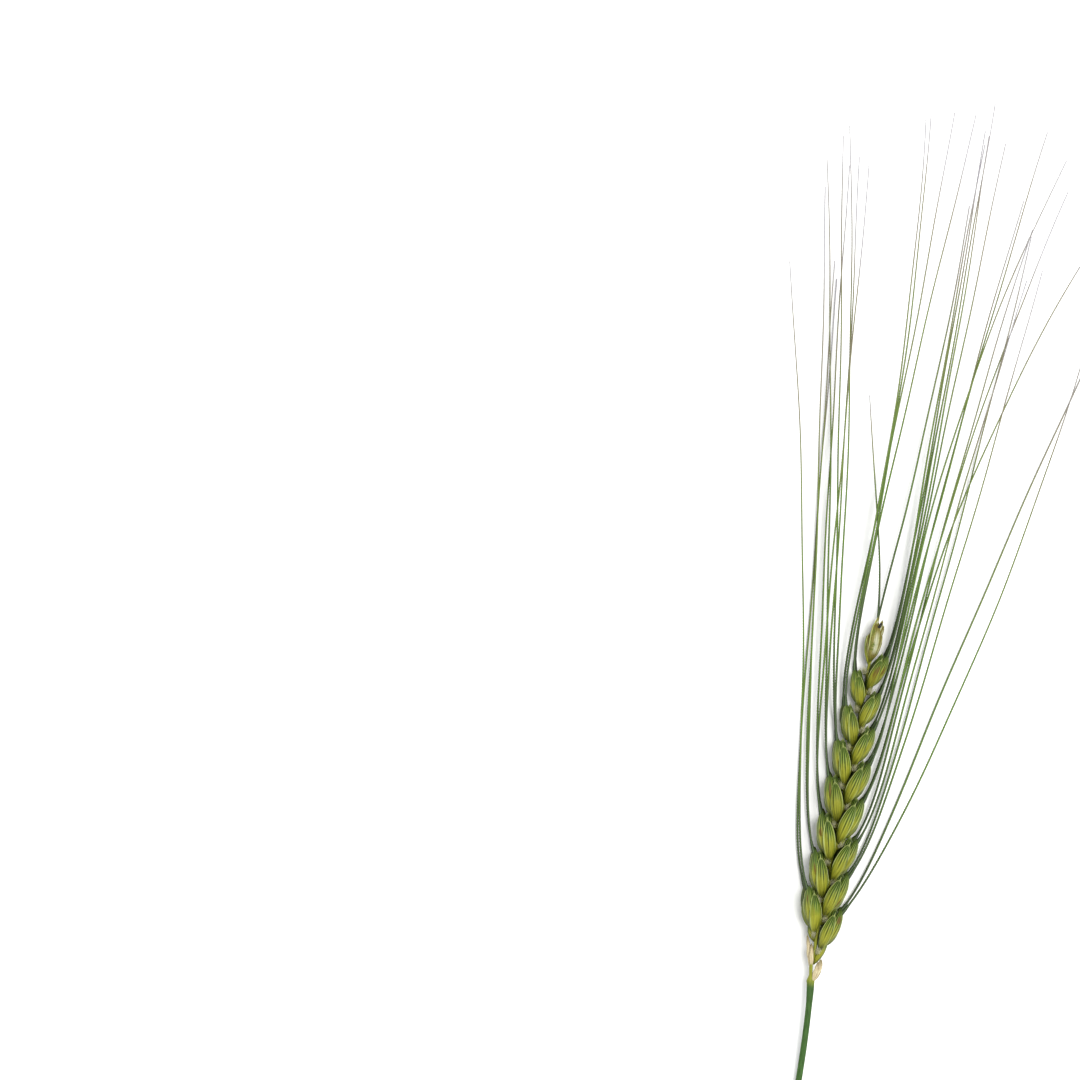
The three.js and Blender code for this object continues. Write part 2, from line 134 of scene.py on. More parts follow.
# What a look adds to a husk: keel, degrees round to it, ribs, rim, degrees round to it, and spur.
# Keel, rim and spur are shares of the sizes in the panel
Look = namedtuple("Look", "keel keel_at ribs rim rim_at spur")
LOOKS = {
    "glume": Look(1.0, 36, 9, 1.0, 166, 1.0),
    "lemma": Look(0.35, 52, 11, 0.55, 8, 0.0),
    "spike": Look(0.6, 100, 5, 0.4, 160, 0.6),
    "foot": Look(0.0, 0, 6, 0.0, 0, 0.0),
    "middle": Look(0.5, 0, 9, 0.0, 0, 0.8),
    "dry": Look(0.7, 60, 8, 0.8, 150, 0.6),
    "paper": Look(0.8, 70, 7, 0.7, 160, 0.5),
}

# Fine forms of a husk. Runs are places along it where a form starts, is full, starts to fade and ends
RELIEF_RUN = (0.02, 0.28, 0.9, 1.02)
RIM_RUN = (0.2, 0.45, 0.93, 1.0)
SPUR_REACH = 0.075
SPUR_TAPER = 0.09
SPUR_POWER = 0.6
KEEL_WANDER = 6
KEEL_WIDTH = 9
HOLLOW_APART = 22
HOLLOW_WIDTH = 13
HOLLOW_DEPTH = 0.05
RIM_WIDTH = 5
UNEVENNESS = 0.018
UNEVEN_WAVES = ((1.0, 7, 2, 1), (0.7, 13, -3, 2), (0.5, 23, 4, 3))
DRY_CRUMPLE = 0.02
PAPER_CRUMPLE = 0.03
ANTHER_CRUMPLE = 0.06

# Awns: where each one runs, in degrees from the ear's axis: front run, front tip, back run, back tip
AWN_ROOT = 0.82
AWN_LENGTH = 142.0
AWN_LENGTH_TOP = 123.0
AWN_LENGTH_SPREAD = 9.0
AWN_BEND = 7.5
AWN_START_FOOT = 31.0
AWN_START_TOP = 12.0
RUN_RIGHT = (
    (17.7, 4.2, 10.7, 14.6),
    (7.3, 4.1, 5.9, 2.9),
    (2.5, 6.9, 1.5, 7.2),
    (0, 13.1, -0.5, 22.5),
    (-4.3, 15.9, 1.6, 6),
    (2.7, 6.7, 1.5, 1.3),
    (1.8, -2.4, 0.5, -1.1),
    (-1.5, 0, 0.5, -1.5),
)
RUN_LEFT = (
    (-7, -15.2, -6.9, -5.6),
    (-7.8, -9.8, -8.6, -6.3),
    (-5.9, -5.3, -8.3, -6.5),
    (-5.9, -8.3, -7.9, -12.2),
    (-5.7, -11.9, -8.8, -10.2),
    (3.4, -7.2, 2.7, -0.9),
    (2.8, -6.7, 1.4, 3.5),
)
RISE_FOOT = math.radians(7.5)
RISE_TOP = math.radians(2.2)
BACK_AWN_LIFT = 0.48
BACK_AWN_STEP = 0.4
BACK_AWN_SETTLE = 14.0
AWN_SWAY = 0.12
AWN_SWAY_TURN = 0.13
AWN_NECK_RUN = 4.2
AWN_RIDGE = 0.1
AWN_BARB = 0.3
BARBS_START = 4
BARBS_FULL = 10
FEWEST_BARBS = 6

# The two awns of the top spikelet: side, start, run and end in degrees, length, rise in degrees.
# Their neck is a share of a side awn's
TOP_AWNS = ((1, -2, -13, -15, 50.0, 2.6), (-1, 2, 5.3, -1, 95.0, 1.4))
TOP_NECK = 0.4

# Stem and rachis
RACHIS_ZIGZAG = 0.3
RACHIS_THICK = 0.42
RACHIS_WIDE = 0.85
RACHIS_SWELL = 0.16
RACHIS_SLIMMING = 0.7
RACHIS_HEAD = 0.4
RACHIS_FOOT_BOW = -0.4
RACHIS_FOOT_Y = -3.8
RACHIS_FOOT_RUN = 2.6
COLLAR_Y = -7.5
COLLAR_RUN = 3.0
STEM_LENGTH = 43.4
STEM_RADIUS = 0.7
COLLAR_RADIUS = 0.86
STEM_SWELL = 6.0
STEM_SWING = 1.9
STEM_SWING_LENGTH = 18.0
STEM_FLAT = 0.06
STEM_RIBS = 13
STEM_RIB = 0.014
COLLAR_RINGS = ((0.07, 0.1, 0.35), (0.05, 1.1, 0.3))
COLLAR_FRINGE = 0.03
NODE_SCAR = 0.05

# The cut end of the stem from the inside out: height over the cut and share of the stem's radius
CUT_PROFILE = ((4.0, 0.25), (2.2, 0.42), (1.0, 0.46), (0.3, 0.48), (0.04, 0.56), (0.0, 0.86))
CUT_SHOULDER = 0.985
CUT_SHARE = 0.9

# Hairs: where a tuft stands from its node and heads (across, along and up), how its hairs scatter, and
# their shortest and longest as shares of the length in the panel
TUFT_AT = (0.6, -1.1, 0.25)
TUFT_HEADING = (0.3, 1.0, 0.6)
HAIRS_IN_TUFT = 80
HAIR_BOX = (0.35, 0.45, 0.45)
HAIR_FAN = 0.3
HAIR_CURL = 0.28
HAIR_LENGTHS = (0.55, 1.15)
HAIR_RADIUS = 0.032
HAIR_TAPER = 0.85

# How finely the surfaces are divided, and how far their points crowd where the form is finest
HUSK_RINGS = 46
HUSK_SIDES = 64
HUSK_END_CROWDING = 0.55
HUSK_SIDE_CROWDING = 0.42
HUSK_CROWDED_AT = math.radians(75)
AWN_TOOTH_STEP = 0.62
AWN_RINGS_PER_TOOTH = 3
AWN_SIDES = 6
CULM_SIDES = 40
STEM_RING_STEP = 0.6
RACHIS_RING_STEP = 0.26
HAIR_RINGS = 5
HAIR_SIDES = 3

# Salts and first seeds that keep the repeatable draws apart
SIZE_SALT, LEAN_SALT, ROLL_SALT, LENGTH_SALT = 1, 2, 22, 1729
KEEL_SALT, WAVE_SALT, PALE_SALT, HUSK_TONE_SALT = 31, 32, 33, 34
SWAY_SALT, AWN_TONE_SALT = 41, 42
SEEDS_A_SPIKELET = 7
TOP_AWN_SEED, TOP_SEED, SHRED_SEED, BRACT_SEED, HAIR_SEED = 90, 201, 210, 301, 500

# Brown flecks on single husks: spikelet, look, place along, degrees round, length, width, strength
FLECKS = (
    (0, "lemma", 0.74, 78, 0.10, 26, 0.95),
    (0, "lemma", 0.50, 30, 0.12, 14, 0.45),
    (1, "lemma", 0.72, 66, 0.12, 10, 0.6),
    (2, "lemma", 0.34, 52, 0.12, 14, 0.75),
    (2, "lemma", 0.62, 88, 0.05, 12, 0.4),
    (3, "lemma", 0.58, 84, 0.15, 12, 0.7),
    (4, "lemma", 0.46, 70, 0.10, 8, 0.35),
    (5, "lemma", 0.56, 74, 0.09, 18, 0.85),
    (7, "lemma", 0.62, 96, 0.24, 14, 0.75),
    (8, "glume", 0.30, 120, 0.05, 12, 0.3),
    (9, "lemma", 0.44, 82, 0.10, 10, 0.45),
    (11, "lemma", 0.66, 60, 0.12, 10, 0.4),
    (12, "lemma", 0.50, 60, 0.10, 12, 0.4),
    (14, "glume", 0.50, 84, 0.34, 46, 0.42),
    (14, "glume", 0.66, 76, 0.16, 15, 0.95),
    (14, "glume", 0.58, 108, 0.18, 9, 0.85),
    (14, "lemma", 0.55, 70, 0.20, 22, 0.55),
)

# Runs of colour from foot to tip: place along and colour
# In GREEN_RUN the dark foot colour is painted shade where the husks' feet crowd together at the rachis
GREEN_RUN = (
    (0.0, "husk_foot_shade"),
    (0.06, "husk_foot_shade"),
    (0.28, "husk_belly"),
    (0.5, "husk_belly"),
    (0.78, "husk_green"),
    (1.0, "husk_tip"),
)
DRY_RUN = (
    (0.0, "husk_green"),
    (0.1, "dry_edge"),
    (0.26, "dry_centre"),
    (0.66, "dry_centre"),
    (0.86, "dry_edge"),
)
AWN_RUN = (
    (0.0, "awn_lower"),
    (0.36, "awn_lower"),
    (0.6, "awn_middle"),
    (0.8, "awn_upper"),
    (0.98, "awn_tip"),
)
BRACT_RUN = ((0.0, "collar"), (0.14, "bract"), (0.7, "bract"), (0.95, "dry_edge"))
HUSK_BACK = math.radians(92)
PEARL_AT = math.radians(74)
HUSK_VEINS = 14

# The light, the surface and the camera, in degrees and metres, and the lens in millimetres
SUN_STRENGTH = 3.1
SUN_WIDTH = 26
SUN_TURN = (0, 16, 28)
SUN_COLOUR = (1.0, 0.985, 0.95)
ROOM_STRENGTH = 0.84
ROOM_COLOUR = (0.98, 0.99, 1.0, 1.0)
SURFACE_HALF = 3.0
SURFACE_LEVEL = -0.00003
CAMERA_AT = (-0.07756, 0.03939, 2.0)
CAMERA_ROLL = 10.6
CAMERA_LENS = 302.4


def linear(red, green, blue):
    """Turns a colour of 0 to 255, as seen, into the linear colour that a shader takes."""
    seen = np.array([red, green, blue]) / 255
    return tuple(np.where(seen <= 0.04045, seen / 12.92, ((seen + 0.055) / 1.055) ** 2.4).tolist())


def colour(name, text, red, green, blue):
    """A colour property whose default is given as seen, 0 to 255."""
    return bpy.props.FloatVectorProperty(
        name=name,
        description=text,
        default=linear(red, green, blue),
        subtype="COLOR",
        size=3,
        min=0.0,
        max=1.0,
    )


def length(name, text, millimetres):
    """A length property whose default is given in millimetres."""
    return bpy.props.FloatProperty(
        name=name,
        description=text,
        default=millimetres * MM,
        min=0.0,
        precision=5,
        unit="LENGTH",
        subtype="DISTANCE",
    )


class WheatEarSizes(bpy.types.PropertyGroup):
    """Sizes that change how the ear looks without changing its form."""

    awn_foot: length("Awn at Its Foot", "Thickness of an awn where it leaves its husk", 0.49)
    awn_tip: length("Awn at Its Tip", "Thickness of an awn at its far end", 0.22)
    awn_neck: length("Awn Neck", "Width of the flattened green neck between husk and awn", 0.88)
    keel: length("Keel", "Height of the ridge along a glume", 0.15)
    rib: length("Ribs", "Height of the fine ribs along a husk", 0.03)
    rim: length("Rim", "Width of the thin pale rim of a husk", 0.2)
    spur: length("Spur", "Thickness of the pointed tooth at a glume's tip", 0.24)
    hair: length("Hairs", "Length of the hairs at the nodes of the rachis", 1.35)


class WheatEarColours(bpy.types.PropertyGroup):
    """Colours of the ear's pieces and of the surface that it lies on."""

    husk_belly: colour("Husk Belly", "Plump lower half of a husk", 130, 131, 36)
    # Painted shade: the dark foot colour stands for the shade among the husks' feet at the rachis
    husk_foot_shade: colour("Husk Foot", "Foot of a husk", 72, 76, 16)
    husk_green: colour("Husk Green", "Upper third and sides of a husk", 62, 90, 12)
    husk_tip: colour("Husk Tip", "Tip of a husk", 38, 64, 14)
    # Also painted shade: this colour darkens the sides of a husk that turn in towards its neighbours
    husk_vein_and_shade: colour("Husk Veins", "Dark green veins of a husk", 28, 44, 6)
    # Partly painted highlight: these bright streaks also stand for gloss on the husks
    husk_streak_highlight: colour("Husk Streaks", "Bright streaks between the veins of a husk", 176, 184, 92)
    # Partly painted highlight: besides the real pale rim, this colour brightens the keels and tips as
    # painted highlights
    husk_rim_and_highlight: colour("Husk Rim", "Thin pale rim and keel of a husk", 184, 194, 120)
    husk_fleck: colour("Brown Flecks", "Brown and orange flecks on the husks", 84, 60, 12)
    dry_centre: colour("Dry Husk", "Body of the dry husks at the top", 128, 124, 62)
    dry_pearl: colour("Dry Husk Pearl", "Pale streak down the middle of a dry husk", 188, 190, 162)
    dry_edge: colour("Dry Edge", "Brown edges and tips of the dry husks", 98, 82, 28)
    awn_foot: colour("Awn Foot", "Awn where it leaves its husk", 50, 66, 34)
    awn_lower: colour("Lower Awn", "Lower third of an awn", 76, 102, 34)
    awn_middle: colour("Middle of Awn", "Middle of an awn", 92, 106, 48)
    awn_upper: colour("Upper Awn", "Upper third of an awn", 110, 104, 84)
    awn_tip: colour("Awn Tip", "Faint tip of an awn", 142, 140, 146)
    stem: colour("Stem", "Stem", 56, 86, 40)
    collar: colour("Collar", "Collar and rachis", 128, 132, 44)
    bract: colour("Bracts", "Papery bracts at the foot of the ear", 192, 176, 140)
    hair: colour("Hairs", "Pale hairs on the rachis", 206, 204, 170)
    surface: colour("Surface", "Pale surface under the ear", 248, 248, 248)


def draw(index, salt):
    """A repeatable number from -1 to 1: twice the fraction of a large sine of both, less 1."""
    value = math.sin(index * 12.9898 + salt * 78.233) * 43758.5453
    return 2 * (value - math.floor(value)) - 1


def mix(start, end, t):
    """The value a share t of the way from start to end."""
    return start + (end - start) * t


def smooth(start, end, x):
    """Rises from 0 at start to 1 at end, level at both."""
    t = np.clip((x - start) / (end - start), 0, 1)
    return t * t * (3 - 2 * t)


def between(run, x):
    """Rises over the first two values of a run and falls over the last two."""
    start, full, fade, end = run
    return smooth(start, full, x) * (1 - smooth(fade, end, x))


def bell(x, centre, width):
    """A bell curve: 1 at the centre, falling by the square of the distance over the width."""
    return np.exp(-(((x - centre) / width) ** 2))


def bell_round(angle, centre, width):
    """A bell curve over an angle that closes round the circle. Centre and width are in degrees."""
    apart = (angle - math.radians(centre) + math.pi) % TAU - math.pi
    return np.exp(-((apart / math.radians(width)) ** 2))


def node_height(k):
    """Height of node k: even steps, less a closing-up that fades out over the lowest nodes."""
    return NODE_STEP * k - FOOT_CLOSING * (1 - np.exp(-k / FOOT_STEPS))


EAR_LENGTH = float(node_height(SIDE_SPIKELETS))
LAST_NODE = float(node_height(SIDE_SPIKELETS - 1))


def steps_at(y):
    """How many nodes lie below height y: the inverse of node_height, read off a fine table."""
    steps = np.linspace(-4, SIDE_SPIKELETS + 1, 4001)
    return np.interp(y, node_height(steps), steps)


def ear_bow(y):
    """Sideways bow of the ear: half a sine wave along it, and a short bell curve near its foot."""
    y = np.asarray(y, float)
    long_bow = np.where(y > 0, EAR_BOW * np.sin(np.pi * y / EAR_LENGTH), 0.0)
    return long_bow + FOOT_BOW * bell(y, FOOT_BOW_Y, FOOT_BOW_RUN)


def size_at(y):
    """Size of a spikelet whose foot is at y: a little less at the ear's foot, and shrinking over
    its upper half."""
    up = np.asarray(y, float) / LAST_NODE
    foot = mix(SIZE_AT_FOOT, 1, smooth(0, FOOT_ZONE, up))
    return foot * mix(1, SIZE_AT_TOP, smooth(TOP_ZONE, 1, up))


def ear_lift(y):
    """Height of the ear's middle line over the surface."""
    return EAR_LIFT * size_at(y)


def row_of(k):
    """1 for the right-hand row and -1 for the left-hand one."""
    return 1 if k % 2 == 0 else -1


def spikelet_place(k):
    """What carries spikelet k's own coordinates onto the ear: a roll about its length, a lean away
    from the ear's axis, and a shift to its node, a little further out near the ear's foot."""
    foot = float(node_height(k))
    size = float(size_at(foot)) * (1 + SIZE_SPREAD * draw(k, SIZE_SALT))
    lean = SPIKELET_LEAN + LEAN_SPREAD * draw(k, LEAN_SALT)
    roll = ROLL_SPREAD * draw(k, ROLL_SALT)
    row = row_of(k)
    inner = FOOT_SPLAY * math.exp(-k / SPLAY_STEPS) - BASE_INSET

    def place(u, v, w):
        out = u * math.cos(roll) - w * math.sin(roll)
        high = u * math.sin(roll) + w * math.cos(roll)
        aside = inner + size * (v * math.sin(lean) + out * math.cos(lean))
        x = ear_bow(foot) + row * aside
        y = foot + size * (v * math.cos(lean) - out * math.sin(lean))
        return np.stack([x, y, ear_lift(foot) + size * high], axis=-1)

    return place


def top_place(u, v, w):
    """Shifts the top spikelet's own coordinates onto the end of the rachis."""
    return np.stack([u, EAR_LENGTH + TOP_RISE + v, ear_lift(EAR_LENGTH) + w], axis=-1)


def bract_place(u, v, w):
    """Shifts a bract's coordinates up to the ear's middle line."""
    return np.stack([u, v, ear_lift(0) + w], axis=-1)


def husk_shape(t):
    """Width of a husk along its length, 1 at its widest: a power of the distance from its base
    times a power of the distance from its tip."""
    widest = HUSK_FOOT / (HUSK_FOOT + HUSK_HEAD)
    most = widest**HUSK_FOOT * (1 - widest) ** HUSK_HEAD
    return t**HUSK_FOOT * (1 - t) ** HUSK_HEAD / most


def husk_middle(husk, side, shift, t):
    """Middle line of a husk: straight from base to tip, plus a belly of half a sine wave."""
    (u0, v0, w0), (u1, v1, w1) = husk.base, husk.tip
    belly = np.sin(np.pi * t)
    return (
        mix(u0, u1, t) + husk.belly[0] * belly,
        mix(v0, v1, t) + shift,
        side * (mix(w0, w1, t) + husk.belly[1] * belly),
    )


def closed_faces(rings, sides):
    """Quads between each ring and the next, and a fan of triangles at each end onto the two last
    points."""
    ring = np.arange(rings - 1)[:, None] * sides
    a = np.arange(sides)[None, :]
    b = (a + 1) % sides
    quads = np.stack([ring + a, ring + b, ring + sides + b, ring + sides + a], axis=-1)
    a, b = a[0], b[0]
    first, last = rings * sides, rings * sides + 1
    top = (rings - 1) * sides
    fans = [
        np.stack([np.full(sides, first), b, a], axis=-1),
        np.stack([np.full(sides, last), top + a, top + b], axis=-1),
    ]
    return quads.reshape(-1, 4), np.concatenate(fans)


def outward(points, quads, fans):
    """Turns all faces round if the volume that they enclose comes out negative."""
    corners = np.concatenate([quads[:, [0, 1, 2]], quads[:, [0, 2, 3]], fans])
    a, b, c = (points[corners[:, i]] for i in range(3))
    if np.einsum("ij,ij->i", a, np.cross(b, c)).sum() < 0:
        return quads[:, ::-1], fans[:, ::-1]
    return quads, fans


def closed_surface(grid, ends, **marks):
    """A closed surface from rings of points (rings, sides, 3) and its two end points. A mark is a
    value or vector for each point of the grid, or one value for each ring or for all. An end point
    takes the mean of its ring's."""
    rings, sides = grid.shape[:2]
    points = np.concatenate([grid.reshape(-1, 3), np.asarray(ends, float).reshape(2, 3)])
    quads, fans = outward(points, *closed_faces(rings, sides))
    values = {}
    for name, mark in marks.items():
        more = np.shape(mark)[2:]
        mark = np.broadcast_to(mark, (rings, sides) + more)
        end_marks = np.stack([mark[0].mean(axis=0), mark[-1].mean(axis=0)])
        values[name] = np.concatenate([mark.reshape((-1,) + more), end_marks])
    return {"points": points, "quads": quads, "fans": fans, "marks": values}


def vectors(shape, *values):
    """Several values for each point of a grid, as one vector."""
    return np.stack([np.broadcast_to(value, shape) for value in values], axis=-1)


def joined(surfaces):
    """One set of points, faces and marks from several surfaces."""
    shift = np.cumsum([0] + [len(s["points"]) for s in surfaces[:-1]])
    whole = {"points": np.concatenate([s["points"] for s in surfaces])}
    for faces in ("quads", "fans"):
        whole[faces] = np.concatenate([s[faces] + n for s, n in zip(surfaces, shift)])
    names = surfaces[0]["marks"]
    whole["marks"] = {k: np.concatenate([s["marks"][k] for s in surfaces]) for k in names}
    return whole


def make_piece(name, surfaces, material, nodes=()):
    """Puts surfaces into one mesh object with its place in its mesh, in metres in the frame's
    coordinates. What would pass through the surface under the ear is pressed flat on it."""
    whole = joined(surfaces)
    points = whole["points"] - REST_AT
    points[:, 2] = np.maximum(points[:, 2], 0)
    mesh = bpy.data.meshes.new(name)
    faces = whole["quads"].tolist() + whole["fans"].tolist()
    mesh.from_pydata((points * MM).tolist(), [], faces)
    for mark, values in whole["marks"].items():
        kind, key = ("FLOAT_VECTOR", "vector") if values.ndim == 2 else ("FLOAT", "value")
        attribute = mesh.attributes.new(mark, kind, "POINT")
        attribute.data.foreach_set(key, values.astype(np.float32).ravel())
    mesh.polygons.foreach_set("use_smooth", np.ones(len(mesh.polygons), bool))
    mesh.update()
    mesh.materials.append(material)
    piece = bpy.data.objects.new(name, mesh)
    bpy.context.scene.collection.objects.link(piece)
    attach(piece, "root")
    if nodes:
        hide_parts(*nodes)


def husk_surface(husk, look, place, side=1, shift=0.0, seed=0, flecks=(), crumple=0.0):
    """A husk: rings round its middle line whose width is husk_shape and whose section is an
    ellipse. Along the outer side stand a sharp keel, a hollow beside it and a row of low ribs (a
    cosine of the angle), at the inner side a thin flange, at the tip a narrow spur, and over all of
    it a slow unevenness of three sines. side is 1 for a husk that faces up and -1 for one that
    faces down."""
    sizes = bpy.context.scene.wheat_ear_sizes
    form = LOOKS[look]
    s = (np.arange(HUSK_RINGS) + 1) / (HUSK_RINGS + 1)
    t = mix(s, 0.5 - 0.5 * np.cos(np.pi * s), HUSK_END_CROWDING)[:, None]
    turn = np.linspace(-np.pi, np.pi, HUSK_SIDES, endpoint=False)
    angle = (turn - HUSK_SIDE_CROWDING * np.sin(turn - HUSK_CROWDED_AT))[None, :]
    spur = form.spur * sizes.spur / MM / (husk.wide + husk.deep)
    reach = 1 + SPUR_REACH * form.spur
    along = t * reach
    body = np.where(along < 1, husk_shape(np.clip(along, 0, 1)), 0)
    tooth = spur * smooth(0, 0.5, along) * np.clip((reach - along) / SPUR_TAPER, 0, 1) ** SPUR_POWER
    width = (body**3 + tooth**3) ** (1 / 3)

    grown = between(RELIEF_RUN, along)
    facing = smooth(-0.55, 0.1, np.sin(angle) + 0.35 * np.cos(angle))
    keel_at = form.keel_at + KEEL_WANDER * draw(seed, KEEL_SALT)
    keel = form.keel * bell_round(angle, keel_at, KEEL_WIDTH)
    hollow = form.keel * bell_round(angle, form.keel_at + HOLLOW_APART, HOLLOW_WIDTH)
    ribs = np.cos(form.ribs * 2 * (angle - math.radians(form.keel_at))) * facing
    rim = form.rim * bell_round(angle, form.rim_at, RIM_WIDTH) * between(RIM_RUN, along)
    phase = 3 * draw(seed, WAVE_SALT)
    uneven = sum(
        size * np.sin(up * along + turns * angle + late * phase)
        for size, up, turns, late in UNEVEN_WAVES
    )
    relief = (
        sizes.keel / MM * keel * grown
        - HOLLOW_DEPTH * hollow * grown
        + sizes.rib / MM * ribs * grown
        + sizes.rim / MM * rim
        + (UNEVENNESS + crumple) * uneven * grown
    )
    x = (husk.wide * width + relief) * np.cos(angle)
    z = (husk.deep * width + relief) * np.sin(angle) * side
    u, v, w = husk_middle(husk, side, shift, along)
    grid = place(u + x, v + 0 * x, w + z)
    ends = place(*husk_middle(husk, side, shift, np.array([0.0, reach])))

    fleck = np.zeros_like(x)
    for centre, round_at, run, spread, strength in flecks:
        spot = strength * bell(along, centre, run) * bell_round(angle, round_at, spread)
        fleck = np.maximum(fleck, spot)
    # Pale keel and tip: partly the real pale keel and spur, partly a painted highlight along the keel
    # and at the tip
    point = 0.75 * form.spur * smooth(0.92, 0.99, along)
    pale = np.clip(keel * grown * (0.65 + 0.35 * draw(seed, PALE_SALT)) + point, 0, 1)
    return closed_surface(
        grid,
        ends,
        husk_place=vectors(x.shape, np.cos(angle), np.sin(angle), along),
        husk_lines=vectors(x.shape, rim, pale, fleck),
        tone=draw(seed, HUSK_TONE_SALT),
    )


# An awn's root, its angles in degrees from the ear's axis at its start, over its run and at its end,
# its reach along the ear, its rise in radians, and the height at which one that doesn't rise settles
Awn = namedtuple("Awn", "root start run end reach rise lift")


def awn_path(awn, t):
    """Middle line of an awn: it leaves its husk at the start angle, turns into its run over the
    first bend, and swings slowly on to its end angle. A front awn rises evenly, and a back one
    settles towards the surface."""
    start, run, end = (math.tan(math.radians(turn)) for turn in (awn.start, awn.run, awn.end))
    s = t * awn.reach
    turning = AWN_BEND * (1 - np.exp(-s / AWN_BEND))
    x = awn.root[0] + run * s + (start - run) * turning + (end - run) * (s / 2) * t
    y = awn.root[1] + s
    if awn.rise > 0:
        z = awn.root[2] + math.tan(awn.rise) * s
    else:
        z = awn.lift + (awn.root[2] - awn.lift) * np.exp(-s / BACK_AWN_SETTLE)
    return np.stack([x, y, z], axis=-1)


def unit(arrows):
    """Arrows cut to a length of 1."""
    return arrows / np.linalg.norm(arrows, axis=1)[:, None]


def round_angles(sides):
    """Even angles round a ring."""
    return np.linspace(0, TAU, sides, endpoint=False)


def spokes(ahead, aside, sides):
    """A ring of unit arrows square to each arrow ahead, turned so that the first is square to the
    arrow aside too."""
    across = unit(np.cross(ahead, aside))
    over = np.cross(across, ahead)
    angle = round_angles(sides)[None, :, None]
    return np.cos(angle) * across[:, None] + np.sin(angle) * over[:, None]


def awn_surface(awn, seed, neck=1.0):
    """A barbed awn: a tube along awn_path, thinning evenly to its tip, with a flat green neck at its
    foot that narrows over a few millimetres. Every other side is a ridge that rises slowly and drops
    at each barb."""
    sizes = bpy.context.scene.wheat_ear_sizes
    teeth = max(FEWEST_BARBS, int(awn.reach / AWN_TOOTH_STEP))
    rings = teeth * AWN_RINGS_PER_TOOTH
    t = np.linspace(0, 1, rings + 1) * 0.999
    run = t * awn.reach
    path = awn_path(awn, t)
    sway = np.sin(AWN_SWAY_TURN * run + 3 * draw(seed, SWAY_SALT))
    path[:, 0] += AWN_SWAY * sway * smooth(0.05, 0.3, t)
    radii = mix(sizes.awn_foot, sizes.awn_tip, t) / MM / 2
    tooth = (np.arange(rings + 1) % AWN_RINGS_PER_TOOTH) / (AWN_RINGS_PER_TOOTH - 1)
    ridge = (np.arange(AWN_SIDES) % 2)[None, :]
    barbed = smooth(BARBS_START, BARBS_FULL, run)[:, None]
    barbs = AWN_BARB * ridge * barbed * (tooth[:, None] - 0.3)
    angle = round_angles(AWN_SIDES)[None, :]
    wide = neck * sizes.awn_neck / MM / 2 * np.exp(-((run / AWN_NECK_RUN) ** 2))
    flat = np.abs(np.cos(angle)) ** 1.5 * np.maximum(wide / radii - 1, 0)[:, None]
    bulge = 1 + AWN_RIDGE * (ridge - 0.5) + barbs + flat
    around = spokes(unit(np.gradient(path, axis=0)), [0.0, 0.0, 1.0], AWN_SIDES)
    grid = path[:, None] + around * radii[:, None, None] * bulge[..., None]
    last = path[-1] - path[-2]
    return closed_surface(
        grid,
        [path[0] - 0.2 * last, path[-1] + 0.3 * last],
        awn_place=vectors(bulge.shape, np.cos(angle), np.sin(angle), t[:, None]),
        foot_run=run[:, None],
        tone=draw(seed, AWN_TONE_SALT),
    )


def culm_middle(y):
    """Middle line of stem and rachis: the stem sinks to the surface and swings aside below the
    collar, and the rachis steps from side to side at each node. Its bare foot bows a little to the
    left, as a bell curve."""
    below = np.maximum(0, COLLAR_Y - y)
    lift = mix(ear_lift(y), STEM_RADIUS - STEM_FLAT, smooth(0, 1, below / STEM_LENGTH))
    swing = STEM_SWING * (1 - np.exp(-below / STEM_SWING_LENGTH))
    steps = steps_at(y)
    zigzag = RACHIS_ZIGZAG * np.clip(1.4 * np.cos(np.pi * steps), -1, 1) * smooth(-2, -0.2, steps)
    bare_foot = RACHIS_FOOT_BOW * bell(y, RACHIS_FOOT_Y, RACHIS_FOOT_RUN)
    return np.stack([zigzag + bare_foot + ear_bow(y) + swing, y, lift], axis=-1)


def culm_halves(y):
    """Half thickness and half width of stem and rachis at height y: round up to the collar, then
    flattening and slimming, with a swelling at each node."""
    over = y - COLLAR_Y
    stem = mix(STEM_RADIUS, COLLAR_RADIUS, smooth(-STEM_SWELL, 0, over))
    slim = mix(1, RACHIS_SLIMMING, smooth(0.5, 1, y / EAR_LENGTH))
    swell = RACHIS_SWELL * np.cos(TAU * steps_at(y))
    thick = mix(COLLAR_RADIUS, RACHIS_THICK * slim, smooth(0, COLLAR_RUN / 2, over))
    wide = mix(COLLAR_RADIUS, (RACHIS_WIDE + swell) * slim, smooth(0, COLLAR_RUN, over))
    return np.where(over < 0, stem, thick), np.where(over < 0, stem, wide)


